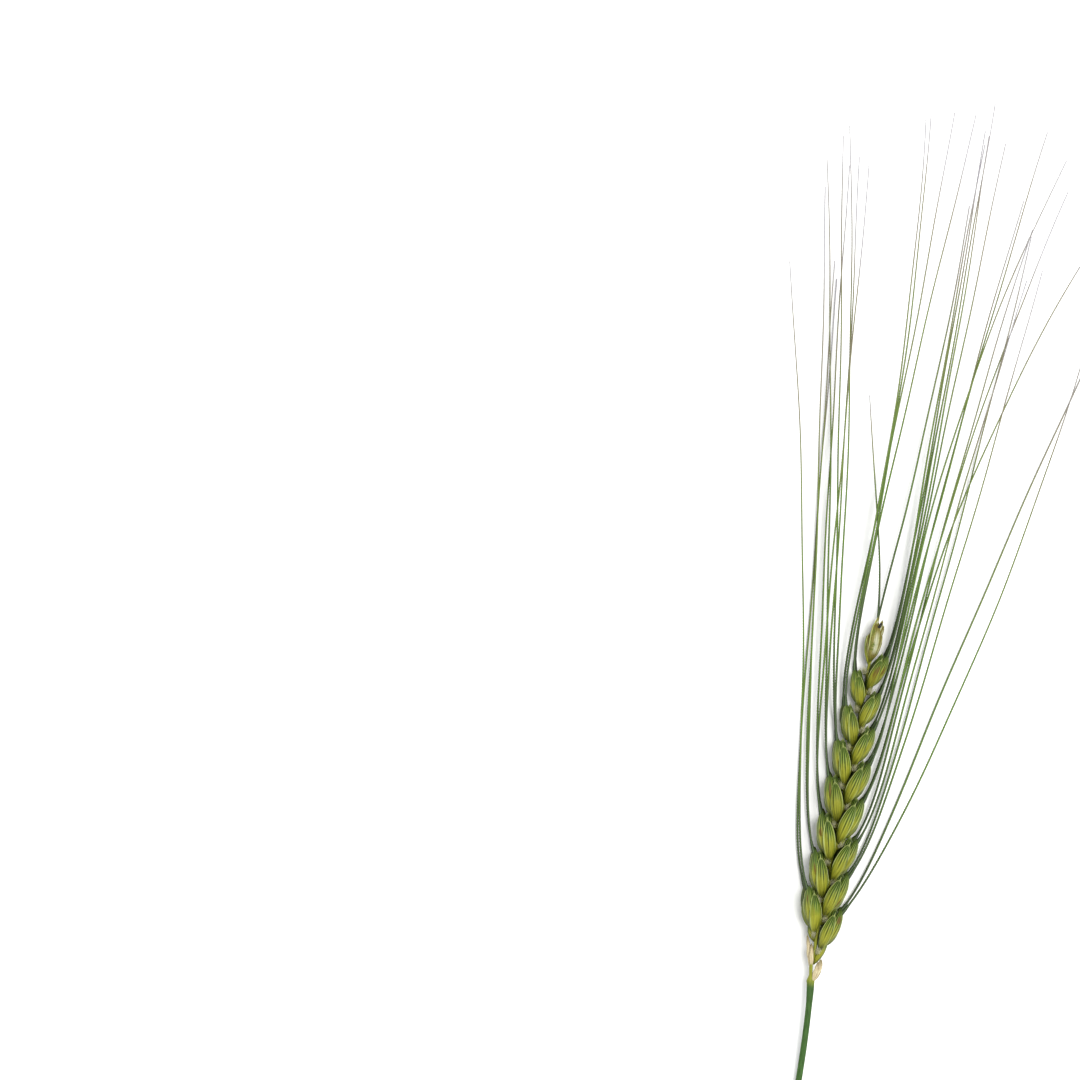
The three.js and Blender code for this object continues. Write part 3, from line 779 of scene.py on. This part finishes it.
def culm_surface():
    """Stem and rachis: ellipses round culm_middle with fine ribs, two low rings at the collar, and a
    hollow cut end where the surface turns in over the wall and runs a few millimetres up inside the
    straw."""
    foot = COLLAR_Y - STEM_LENGTH
    head = EAR_LENGTH + TOP_RISE + RACHIS_HEAD
    upper = COLLAR_Y - COLLAR_RUN
    lengths = [np.arange(foot, upper, STEM_RING_STEP), np.arange(upper, head, RACHIS_RING_STEP)]
    cut_rise, cut_share = np.array(CUT_PROFILE).T
    outside = np.concatenate([*lengths, [head]])[1:]
    y = np.concatenate([foot + cut_rise, outside])
    share = np.concatenate([cut_share, [CUT_SHOULDER], np.ones(len(outside) - 1)])
    angle = round_angles(CULM_SIDES)[None, :]
    over = y - COLLAR_Y
    swelling = (0.6 + 0.4 * np.sin(0.5 * y)) * (1 - smooth(-1, 2, over))
    ribs = STEM_RIB * np.cos(STEM_RIBS * angle) * swelling[:, None]
    collar = sum(high * bell(over, at, width) for high, at, width in COLLAR_RINGS)[:, None]
    torn = np.sin(9 * angle + 3 * np.sin(3 * angle)) * bell(over, COLLAR_RINGS[0][1], 0.4)[:, None]
    steps = steps_at(y)
    scar = (bell(steps - np.round(steps), 0, 0.05) * smooth(-0.5, 0, steps))[:, None]
    relief = ribs + collar + COLLAR_FRINGE * torn + NODE_SCAR * scar
    relief = relief * (share > CUT_SHARE)[:, None]
    middle = culm_middle(y)
    thick, wide = ((half * share)[:, None] + relief for half in culm_halves(y))
    x = middle[:, :1] + thick * np.cos(angle)
    z = middle[:, 2:] + wide * np.sin(angle)
    return closed_surface(
        vectors(x.shape, x, y[:, None], z),
        [middle[0] + [0, 0.4, 0], middle[-1] + [0, 0.12, 0]],
        culm_place=vectors(x.shape, np.cos(angle), np.sin(angle), y[:, None]),
        cut=(share < CUT_SHARE)[:, None].astype(float),
    )


def hair_surfaces(seed, centre, heading, reach):
    """A tuft of hairs: three-sided tapering blades from points scattered in a box, each along its
    own heading with a slight curl. All hairs are worked out at once as one array of hairs, rings,
    sides and coordinates."""
    source = np.random.default_rng(seed)
    count = HAIRS_IN_TUFT
    roots = np.asarray(centre) + source.uniform(-1, 1, (count, 3)) * HAIR_BOX
    ahead = unit(np.asarray(heading) + source.normal(0, 1, (count, 3)) * HAIR_FAN)
    lengths = (reach * source.uniform(*HAIR_LENGTHS, count))[:, None]
    curl = source.normal(0, HAIR_CURL, (count, 3))
    t = np.linspace(0, 0.96, HAIR_RINGS)
    straight = ahead[:, None] * (t * lengths)[..., None]
    path = roots[:, None] + straight + curl[:, None] * (t**2 * lengths)[..., None]
    radii = HAIR_RADIUS * (1 - HAIR_TAPER * t)
    around = spokes(ahead, [0.3, 0.1, 1.0], HAIR_SIDES)
    grid = path[:, :, None] + around[:, None] * radii[None, :, None, None]
    tips = path[:, -1] + ahead * 0.04 * lengths + curl * 0.06 * lengths
    points = np.concatenate([grid.reshape(count, -1, 3), roots[:, None], tips[:, None]], axis=1)
    quads, fans = outward(points[0], *closed_faces(HAIR_RINGS, HAIR_SIDES))
    shift = (np.arange(count) * points.shape[1])[:, None, None]
    run = np.concatenate([np.repeat(t, HAIR_SIDES), [0.0, 1.0]])
    return {
        "points": points.reshape(-1, 3),
        "quads": (quads[None] + shift).reshape(-1, 4),
        "fans": (fans[None] + shift).reshape(-1, 3),
        "marks": {"hair_run": np.tile(run, count)},
    }


class Finish:
    """A material and the few calls that add and join its nodes."""

    def __init__(self, name):
        self.colours = bpy.context.scene.wheat_ear_colours
        self.material = bpy.data.materials.new(name)
        self.material.use_nodes = True
        self.tree = self.material.node_tree
        self.tree.nodes.clear()
        self.shader = self.node("ShaderNodeBsdfPrincipled")
        self.node("ShaderNodeOutputMaterial", {"Surface": self.shader.outputs["BSDF"]})

    def node(self, kind, given=(), **settings):
        """Adds a node with its settings and what its inputs are given."""
        made = self.tree.nodes.new(kind)
        made.location = (len(self.tree.nodes) % 8 * 220, -(len(self.tree.nodes) // 8) * 260)
        for key, value in settings.items():
            setattr(made, key, value)
        for key, value in dict(given).items():
            self.put(value, made.inputs[key])
        return made

    def put(self, value, target):
        """Joins a socket to an input, or writes a number or colour on it."""
        if isinstance(value, bpy.types.NodeSocket):
            self.tree.links.new(value, target)
        elif hasattr(value, "__len__"):
            target.default_value = (*value, 1.0)
        else:
            target.default_value = value

    def mark(self, name):
        """Reads one of the piece's own attributes that holds a value."""
        return self.node("ShaderNodeAttribute", attribute_name=name).outputs["Fac"]

    def marks(self, name):
        """Reads one of the piece's own attributes that holds three values."""
        read = self.node("ShaderNodeAttribute", attribute_name=name).outputs["Vector"]
        return self.node("ShaderNodeSeparateXYZ", {0: read}).outputs

    def bring(self, *values):
        """One vector of three values."""
        return self.node("ShaderNodeCombineXYZ", enumerate(values)).outputs[0]

    def sum(self, operation, *values):
        """One Math node."""
        return self.node("ShaderNodeMath", enumerate(values), operation=operation).outputs[0]

    def plus(self, first, *others):
        """All values added up."""
        for other in others:
            first = self.sum("ADD", first, other)
        return first

    def times(self, first, *others):
        """The product of all values."""
        for other in others:
            first = self.sum("MULTIPLY", first, other)
        return first

    def swing(self, value, amount):
        """A noise of 0 to 1 as one about 0, times an amount."""
        return self.times(self.sum("SUBTRACT", value, 0.5), amount)

    def off(self, value, centre):
        """How far a value is from a centre."""
        return self.sum("ABSOLUTE", self.sum("SUBTRACT", value, centre))

    def ramp(self, value, start, end, low=0.0, high=1.0):
        """A smooth step of value from low at start to high at end."""
        given = {"Value": value, "From Min": start, "From Max": end, "To Min": low, "To Max": high}
        made = self.node("ShaderNodeMapRange", given, interpolation_type="SMOOTHSTEP")
        return made.outputs["Result"]

    def noise(self, vector, scale, detail=2.0, roughness=0.5):
        """Noise of 0 to 1, with this many cells to one unit of the vector."""
        given = {"Vector": vector, "Scale": scale, "Detail": detail, "Roughness": roughness}
        return self.node("ShaderNodeTexNoise", given).outputs["Fac"]

    def grain(self, cells, detail=2.0, roughness=0.5):
        """Noise over the piece, with this many cells to the metre."""
        here = self.node("ShaderNodeTexCoord").outputs["Object"]
        return self.noise(here, cells, detail, roughness)

    def blend(self, share, first, second, kind="MIX"):
        """Two colours blended by a share of the second."""
        given = {0: share, 6: first, 7: second}
        made = self.node("ShaderNodeMix", given, data_type="RGBA", blend_type=kind)
        return made.outputs[2]

    def shaded(self, base, shade):
        """A colour times a factor."""
        return self.blend(1.0, base, self.bring(shade, shade, shade), "MULTIPLY")

    def stops(self, value, run):
        """A run of colours along value. All places are set before the colours, because setting a
        place can sort the stops."""
        made = self.node("ShaderNodeValToRGB", {"Fac": value})
        elements = made.color_ramp.elements
        while len(elements) < len(run):
            elements.new(0.5)
        for element, (place, _) in zip(elements, run):
            element.position = place
        for element, (_, name) in zip(elements, run):
            element.color = (*getattr(self.colours, name), 1.0)
        return made.outputs["Color"]

    def done(self, base, roughness, specular=0.5, relief=None, millimetres=0.05, strength=0.8):
        """Gives the shader its colour, roughness, gloss and a relief that is too fine for the mesh,
        and hands over the material."""
        if relief is not None:
            given = {"Strength": strength, "Distance": millimetres * MM, "Height": relief}
            self.put(self.node("ShaderNodeBump", given).outputs[0], self.shader.inputs["Normal"])
        self.put(base, self.shader.inputs["Base Color"])
        self.put(roughness, self.shader.inputs["Roughness"])
        self.put(specular, self.shader.inputs["Specular IOR Level"])
        return self.material


def dry_patches(f, base, angle, along):
    """Green and brown patches of a dry husk, and a pale streak down its middle."""
    c = f.colours
    patch = f.grain(900, 3.0, 0.7)
    base = f.blend(f.ramp(patch, 0.5, 0.64, 0.0, 0.75), base, c.husk_green)
    base = f.blend(f.ramp(patch, 0.46, 0.32, 0.0, 0.75), base, c.dry_edge)
    off_middle = f.plus(f.off(angle, PEARL_AT), f.swing(patch, 0.9))
    pearl = f.times(
        f.ramp(off_middle, 0.05, 0.6, 0.85, 0.0),
        f.ramp(along, 0.14, 0.34),
        f.ramp(along, 0.58, 0.78, 1.0, 0.0),
    )
    return f.blend(pearl, base, c.dry_pearl)


def veined(f, base, angle, along, wander, tone, vein_colour, vein_share, light_share):
    """Dark veins at even steps round a husk, which meet at its tip and reach down by a length that
    differs from vein to vein, with bright streaks between them that are partly the real pale stripes
    and partly a painted highlight."""
    combed = f.plus(f.times(angle, HUSK_VEINS / TAU), f.plus(wander, f.times(tone, 3.0)))
    line = f.off(f.sum("FRACT", combed), 0.5)
    uneven = f.noise(f.bring(f.sum("FLOOR", combed), f.times(tone, 7.0), 0.5), 1.9, 0.0)
    reach = f.plus(along, f.swing(uneven, 1.1))
    vein = f.times(f.ramp(line, 0.1, 0.32, 1.0, 0.0), f.ramp(reach, 0.4, 0.72, 0.08, 0.95))
    # Bright streaks: partly the real pale stripes, partly a painted highlight
    light = f.times(
        f.ramp(line, 0.34, 0.48),
        f.ramp(reach, 0.35, 0.6, 0.0, 0.6),
        f.ramp(along, 0.8, 1.0, 1.0, 0.45),
    )
    base = f.blend(f.times(vein, vein_share), base, vein_colour)
    return f.blend(f.times(light, light_share), base, f.colours.husk_streak_highlight)


def husk_finish(name, dry=False):
    """Husk: colours run from a dark foot, painted shade where the husks' feet crowd together, to the
    tip; greener at the sides, and darkest on the sides turned in towards the ear's middle, as
    painted shade. Dark veins meet at the tip, with bright streaks between them that are partly a
    painted highlight, fine streaks along its length, a pale rim, a pale keel and tip that are partly a
    painted highlight, and brown flecks with ragged edges."""
    f = Finish(name)
    c = f.colours
    cosine, sine, along = f.marks("husk_place")
    rim, keel, fleck = f.marks("husk_lines")
    tone = f.mark("tone")
    angle = f.sum("ARCTAN2", sine, cosine)
    slow = f.grain(520)
    fine = f.grain(4200, 3.0, 0.6)
    streak_at = f.bring(f.times(angle, 5.0), f.times(along, 1.5), f.times(tone, 9.0))
    streak = f.noise(streak_at, 1.6, 3.0, 0.65)

    moved = f.plus(along, f.swing(slow, 0.3), f.swing(streak, 0.85), f.times(tone, 0.035))
    base = f.stops(moved, DRY_RUN if dry else GREEN_RUN)
    if dry:
        base = dry_patches(f, base, angle, along)
    side_colour, vein_colour = (c.dry_edge, c.dry_edge) if dry else (c.husk_green, c.husk_vein_and_shade)
    # Greener towards the sides. The sides turned in towards the ear's middle and the neighbouring
    # husks take the vein colour (on dry husks the brown edge colour) as painted shade
    to_side = f.off(angle, HUSK_BACK)
    base = f.blend(f.ramp(to_side, 0.6, 1.5, 0.0, 0.8), base, side_colour)
    base = f.blend(f.ramp(to_side, 1.05, 1.6, 0.0, 0.7), base, vein_colour)
    shares = (0.45, 0.4) if dry else (0.85, 0.75)
    base = veined(f, base, angle, along, f.swing(slow, 0.2), tone, vein_colour, *shares)

    shade = f.times(
        f.ramp(streak, 0.3, 0.7, 0.76, 1.18),
        f.ramp(fine, 0.25, 0.75, 0.93, 1.07),
        f.plus(1.0, f.times(tone, 0.07)),
    )
    base = f.shaded(base, shade)
    # Pale keel and tip points: partly the real pale keel, partly a painted highlight
    base = f.blend(f.times(keel, f.ramp(streak, 0.35, 0.62, 0.2, 0.85)), base, c.husk_rim_and_highlight)
    base = f.blend(f.ramp(rim, 0.12, 0.4, 0.0, 0.8), base, c.husk_rim_and_highlight)
    torn = f.times(fleck, f.ramp(streak, 0.25, 0.6, 0.5, 1.5))
    base = f.blend(f.ramp(torn, 0.2, 0.7, 0.0, 0.85), base, c.husk_fleck)
    relief = f.plus(f.times(streak, 0.7), f.times(fine, 0.5))
    return f.done(base, f.ramp(streak, 0.3, 0.7, 0.4, 0.58), 0.2, relief)


def awn_finish(name):
    """Awn: dark green at its foot, then green, olive, mauve and a faint grey at its tip. Its two
    edges and its furrows are darker than its middle. The dark edges and bright middle are partly its
    real barbed margins and pale middle stripe, and partly painted shade and a painted highlight on
    its round form."""
    f = Finish(name)
    cosine, sine, along = f.marks("awn_place")
    fine = f.grain(2600)
    moved = f.plus(along, f.swing(f.grain(70), 0.3), f.times(f.mark("tone"), 0.06))
    base = f.stops(moved, AWN_RUN)
    base = f.blend(f.ramp(f.mark("foot_run"), 4.0, 38.0, 1.0, 0.0), base, f.colours.awn_foot)
    furrow = f.sum("COSINE", f.times(f.sum("ARCTAN2", sine, cosine), AWN_SIDES / 2))
    shade = f.times(
        f.ramp(furrow, -0.8, 0.8, 0.84, 1.1),
        # Darker edges and a brighter middle: partly the real barbed margins and pale stripe, partly
        # painted shade and a painted highlight on the round awn
        f.ramp(f.sum("ABSOLUTE", cosine), 0.2, 0.75, 1.5, 0.58),
        f.ramp(fine, 0.3, 0.7, 0.88, 1.12),
    )
    roughness = f.ramp(fine, 0.3, 0.7, 0.42, 0.6)
    return f.done(f.shaded(base, shade), roughness, 0.3, fine, 0.02, 0.5)


def culm_finish(name):
    """Stem and rachis: green with fine stripes along its length, yellow-green from the collar up,
    and pale pith at the cut end."""
    f = Finish(name)
    c = f.colours
    cosine, sine, height = f.marks("culm_place")
    angle = f.sum("ARCTAN2", sine, cosine)
    stripe = f.noise(f.bring(f.times(angle, 6.0), f.times(height, 0.35), 0.0), 1.3)
    base = f.blend(f.ramp(height, COLLAR_Y - 1.6, COLLAR_Y + 1.2), c.stem, c.collar)
    shade = f.times(
        f.ramp(stripe, 0.3, 0.7, 0.62, 1.3),
        f.ramp(f.grain(180), 0.25, 0.75, 0.86, 1.12),
        f.ramp(f.grain(3600), 0.25, 0.75, 0.94, 1.06),
    )
    base = f.blend(f.ramp(f.mark("cut"), 0.3, 0.8), f.shaded(base, shade), c.hair)
    return f.done(base, f.ramp(stripe, 0.3, 0.7, 0.4, 0.55), 0.12, stripe, 0.03, 0.7)


def anther_finish(name):
    """A dried anther: nearly black, with a brown bloom in slow patches."""
    f = Finish(name)
    patch = f.grain(2400, 3.0)
    base = f.blend(f.ramp(patch, 0.4, 0.75), linear(14, 12, 8), linear(58, 40, 20))
    return f.done(base, f.ramp(patch, 0.3, 0.7, 0.55, 0.75), relief=patch)


def paper_finish(name):
    """Dry bract: straw-coloured paper with darker veins and a brown tip."""
    f = Finish(name)
    c = f.colours
    cosine, sine, along = f.marks("husk_place")
    angle = f.sum("ARCTAN2", sine, cosine)
    fine = f.grain(3800, 3.0)
    streak = f.noise(f.bring(f.times(angle, 6.0), f.times(along, 2.0), 0.0), 1.6, 3.0)
    base = f.stops(f.plus(along, f.swing(streak, 0.3)), BRACT_RUN)
    base = f.blend(f.ramp(streak, 0.48, 0.66, 0.0, 0.8), base, c.hair)
    base = f.blend(f.ramp(f.sum("ABSOLUTE", cosine), 0.72, 1.0, 0.0, 0.75), base, c.dry_edge)
    line = f.off(f.sum("FRACT", f.times(angle, HUSK_VEINS / TAU)), 0.5)
    base = f.blend(f.ramp(line, 0.08, 0.22, 0.45, 0.0), base, c.dry_edge)
    shade = f.times(f.ramp(streak, 0.3, 0.7, 0.82, 1.1), f.ramp(fine, 0.3, 0.7, 0.94, 1.06))
    return f.done(f.shaded(base, shade), f.ramp(fine, 0.3, 0.7, 0.6, 0.75), relief=streak)


def hair_finish(name):
    """Hairs: pale, a little greener at their roots."""
    f = Finish(name)
    base = f.blend(f.ramp(f.mark("hair_run"), 0.0, 0.5), f.colours.collar, f.colours.hair)
    return f.done(f.shaded(base, f.ramp(f.grain(1500, 1.0), 0.3, 0.7, 0.85, 1.08)), 0.6)


def surface_finish(name):
    """Matt pale board, with a grain too fine to see from the camera."""
    f = Finish(name)
    shade = f.ramp(f.grain(900), 0.3, 0.7, 0.992, 1.0)
    return f.done(f.shaded(f.colours.surface, shade), 0.9, 0.1)


def finish_named(name, make, *given):
    """The material of this name, made the first time that it is asked for."""
    return bpy.data.materials.get(name) or make(name, *given)


def node_name(k):
    """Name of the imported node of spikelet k."""
    return f"spikelet_{k + 1:02d}"


def flecks_of(k, look):
    """The flecks on the husk of this look of spikelet k."""
    return [fleck[2:] for fleck in FLECKS if fleck[:2] == (k, look)]


class WHEAT_OT_side_husks(bpy.types.Operator):
    """Make the husks of the fifteen spikelets in the two rows"""

    bl_idname = "wheat.side_husks"
    bl_label = "Side Husks"

    def execute(self, context):
        green = finish_named("husk_green", husk_finish)
        for k in range(SIDE_SPIKELETS):
            place = spikelet_place(k)
            foot = (FOOT if k else LOWEST_FOOT, "foot", 1, 0.0)
            parts = []
            for number, (husk, look, side, shift) in enumerate((*SIDE_HUSKS, foot)):
                seed = SEEDS_A_SPIKELET * k + number
                flecks = flecks_of(k, look) if side == 1 else ()
                parts.append(husk_surface(husk, look, place, side, shift, seed, flecks))
            make_piece(f"husks_{k + 1:02d}", parts, green, [node_name(k)])
        return {"FINISHED"}


class WHEAT_OT_awns(bpy.types.Operator):
    """Make the two long awns of each side spikelet"""

    bl_idname = "wheat.awns"
    bl_label = "Awns"

    def execute(self, context):
        green = finish_named("awn_green", awn_finish)
        for k in range(SIDE_SPIKELETS):
            place = spikelet_place(k)
            row = row_of(k)
            up = k / (SIDE_SPIKELETS - 1)
            runs = (RUN_RIGHT if row > 0 else RUN_LEFT)[k // 2]
            start = row * mix(AWN_START_FOOT, AWN_START_TOP, up)
            settled = BACK_AWN_LIFT + BACK_AWN_STEP * k
            parts = []
            for side in (1, -1):
                shift = 0.0 if side > 0 else BACK_SHIFT
                root = place(*husk_middle(LEMMA, side, shift, np.array(AWN_ROOT)))
                turns = runs[:2] if side > 0 else runs[2:]
                spread = AWN_LENGTH_SPREAD * draw(k, LENGTH_SALT + side)
                reach = mix(AWN_LENGTH, AWN_LENGTH_TOP, up) + spread
                rise = mix(RISE_FOOT, RISE_TOP, up) if side > 0 else 0.0
                awn = Awn(root, start, *turns, reach, rise, settled)
                parts.append(awn_surface(awn, 2 * k + (side > 0)))
            make_piece(f"awns_{k + 1:02d}", parts, green, [node_name(k)])
        return {"FINISHED"}


class WHEAT_OT_top_spikelet(bpy.types.Operator):
    """Make the dry spikelet at the top of the ear and its two thin awns"""

    bl_idname = "wheat.top_spikelet"
    bl_label = "Top Spikelet"

    def execute(self, context):
        def part(husk, look, seed, side=1, shift=0.0, crumple=0.0):
            return husk_surface(husk, look, top_place, side, shift, seed, (), crumple)

        parts = [
            part(husk, look, TOP_SEED + i, side, shift, DRY_CRUMPLE)
            for i, (husk, look, side, shift) in enumerate(TOP_HUSKS)
        ]
        for i, shred in enumerate(TOP_SHREDS):
            parts.append(part(shred, "dry", SHRED_SEED + i, crumple=PAPER_CRUMPLE))
        dry = finish_named("husk_dry", husk_finish, True)
        make_piece("top_husks", parts, dry, ["spikelet_top"])
        green = finish_named("husk_green", husk_finish)
        spike = part(TOP_SPIKE, "spike", TOP_SEED + len(TOP_HUSKS))
        make_piece("top_spike", [spike], green)
        dark = finish_named("anther_dark", anther_finish)
        anther = part(ANTHER, "foot", TOP_SEED + len(TOP_HUSKS) + 1, crumple=ANTHER_CRUMPLE)
        make_piece("dried_anther", [anther], dark)
        awns = []
        for i, (side, start, run, end, reach, rise) in enumerate(TOP_AWNS):
            root = top_place(*husk_middle(TOP_FRONT, side, 0.0, np.array(AWN_ROOT)))
            awn = Awn(root, start, run, end, reach, math.radians(rise), 0.0)
            awns.append(awn_surface(awn, TOP_AWN_SEED + i, TOP_NECK))
        finish = finish_named("awn_green", awn_finish)
        make_piece("top_awns", awns, finish, ["spikelet_top"])
        return {"FINISHED"}


class WHEAT_OT_stem(bpy.types.Operator):
    """Make the hollow cut stem, its collar and the zigzag rachis"""

    bl_idname = "wheat.stem"
    bl_label = "Stem and Rachis"

    def execute(self, context):
        green = finish_named("stem_green", culm_finish)
        make_piece("stem", [culm_surface()], green, ["stem_and_rachis"])
        return {"FINISHED"}


class WHEAT_OT_bracts(bpy.types.Operator):
    """Make the two papery bracts at the foot of the ear"""

    bl_idname = "wheat.bracts"
    bl_label = "Bracts"

    def execute(self, context):
        paper = finish_named("bract_straw", paper_finish)
        for number, (name, blades) in enumerate(BRACTS.items()):
            parts = []
            for i, blade in enumerate(blades):
                seed = BRACT_SEED + 10 * number + i
                parts.append(
                    husk_surface(blade, "paper", bract_place, seed=seed, crumple=PAPER_CRUMPLE)
                )
            make_piece(f"paper_{name}", parts, paper, [name])
        return {"FINISHED"}


class WHEAT_OT_hairs(bpy.types.Operator):
    """Make the tufts of pale hair at the nodes of the rachis"""

    bl_idname = "wheat.hairs"
    bl_label = "Hair Tufts"

    def execute(self, context):
        pale = finish_named("hair_pale", hair_finish)
        reach = context.scene.wheat_ear_sizes.hair / MM
        tufts = []
        for k in range(SIDE_SPIKELETS + 1):
            foot = np.array([float(node_height(k))])
            row = row_of(k)
            middle = culm_middle(foot)[0]
            wide = float(culm_halves(foot)[1][0])
            for side in (1, -1):
                centre = middle + [row * TUFT_AT[0], TUFT_AT[1], side * (wide + TUFT_AT[2])]
                heading = [row * TUFT_HEADING[0], TUFT_HEADING[1], side * TUFT_HEADING[2]]
                tufts.append(hair_surfaces(HAIR_SEED + 2 * k + side, centre, heading, reach))
        make_piece("hair_tufts", tufts, pale)
        return {"FINISHED"}


class WHEAT_OT_stage(bpy.types.Operator):
    """Make the pale surface, the soft light and the camera straight above it"""

    bl_idname = "wheat.stage"
    bl_label = "Stage"

    def execute(self, context):
        scene = context.scene
        mesh = bpy.data.meshes.new("surface")
        corners = [
            (across * SURFACE_HALF, along * SURFACE_HALF, SURFACE_LEVEL)
            for across, along in ((-1, -1), (1, -1), (1, 1), (-1, 1))
        ]
        mesh.from_pydata(corners, [], [(0, 1, 2, 3)])
        mesh.materials.append(finish_named("pale_surface", surface_finish))
        surface = bpy.data.objects.new("surface", mesh)
        scene.collection.objects.link(surface)

        world = bpy.data.worlds.new("soft_room")
        world.use_nodes = True
        background = world.node_tree.nodes["Background"]
        background.inputs["Color"].default_value = ROOM_COLOUR
        background.inputs["Strength"].default_value = ROOM_STRENGTH
        scene.world = world

        sun = bpy.data.lights.new("key", "SUN")
        sun.energy = SUN_STRENGTH
        sun.angle = math.radians(SUN_WIDTH)
        sun.color = SUN_COLOUR
        lamp = bpy.data.objects.new("key", sun)
        lamp.rotation_euler = [math.radians(turn) for turn in SUN_TURN]
        scene.collection.objects.link(lamp)

        lens = bpy.data.cameras.new("camera")
        lens.sensor_width = 36
        lens.lens = CAMERA_LENS
        lens.clip_start = 0.1
        lens.clip_end = 20
        camera = bpy.data.objects.new("camera", lens)
        camera.location = CAMERA_AT
        camera.rotation_euler = (0, 0, math.radians(CAMERA_ROLL))
        scene.collection.objects.link(camera)
        scene.camera = camera

        scene.view_settings.view_transform = "Standard"
        scene.view_settings.look = "None"
        return {"FINISHED"}


OPERATORS = (
    WHEAT_OT_side_husks,
    WHEAT_OT_awns,
    WHEAT_OT_top_spikelet,
    WHEAT_OT_stem,
    WHEAT_OT_bracts,
    WHEAT_OT_hairs,
    WHEAT_OT_stage,
)


class WHEAT_PT_ear(bpy.types.Panel):
    """Lists the ear's pieces, sizes and colours"""

    bl_idname = "WHEAT_PT_ear"
    bl_label = "Wheat Ear"
    bl_space_type = "VIEW_3D"
    bl_region_type = "UI"
    bl_category = "Wheat Ear"

    def draw(self, context):
        groups = {"Sizes": context.scene.wheat_ear_sizes, "Colours": context.scene.wheat_ear_colours}
        for title, group in groups.items():
            box = self.layout.box()
            box.label(text=title)
            for name in group.__annotations__:
                box.prop(group, name)
        pieces = self.layout.box()
        pieces.label(text="Pieces")
        for operator in OPERATORS:
            pieces.operator(operator.bl_idname)


CLASSES = (WheatEarSizes, WheatEarColours, *OPERATORS, WHEAT_PT_ear)


def register():
    for item in CLASSES:
        bpy.utils.register_class(item)
    bpy.types.Scene.wheat_ear_sizes = bpy.props.PointerProperty(type=WheatEarSizes)
    bpy.types.Scene.wheat_ear_colours = bpy.props.PointerProperty(type=WheatEarColours)


def unregister():
    del bpy.types.Scene.wheat_ear_colours
    del bpy.types.Scene.wheat_ear_sizes
    for item in reversed(CLASSES):
        bpy.utils.unregister_class(item)


def main():
    """Makes every piece in turn."""
    register()
    bpy.ops.wheat.side_husks()
    bpy.ops.wheat.awns()
    bpy.ops.wheat.top_spikelet()
    bpy.ops.wheat.stem()
    bpy.ops.wheat.bracts()
    bpy.ops.wheat.hairs()
    bpy.ops.wheat.stage()


if __name__ == "__main__":
    main()
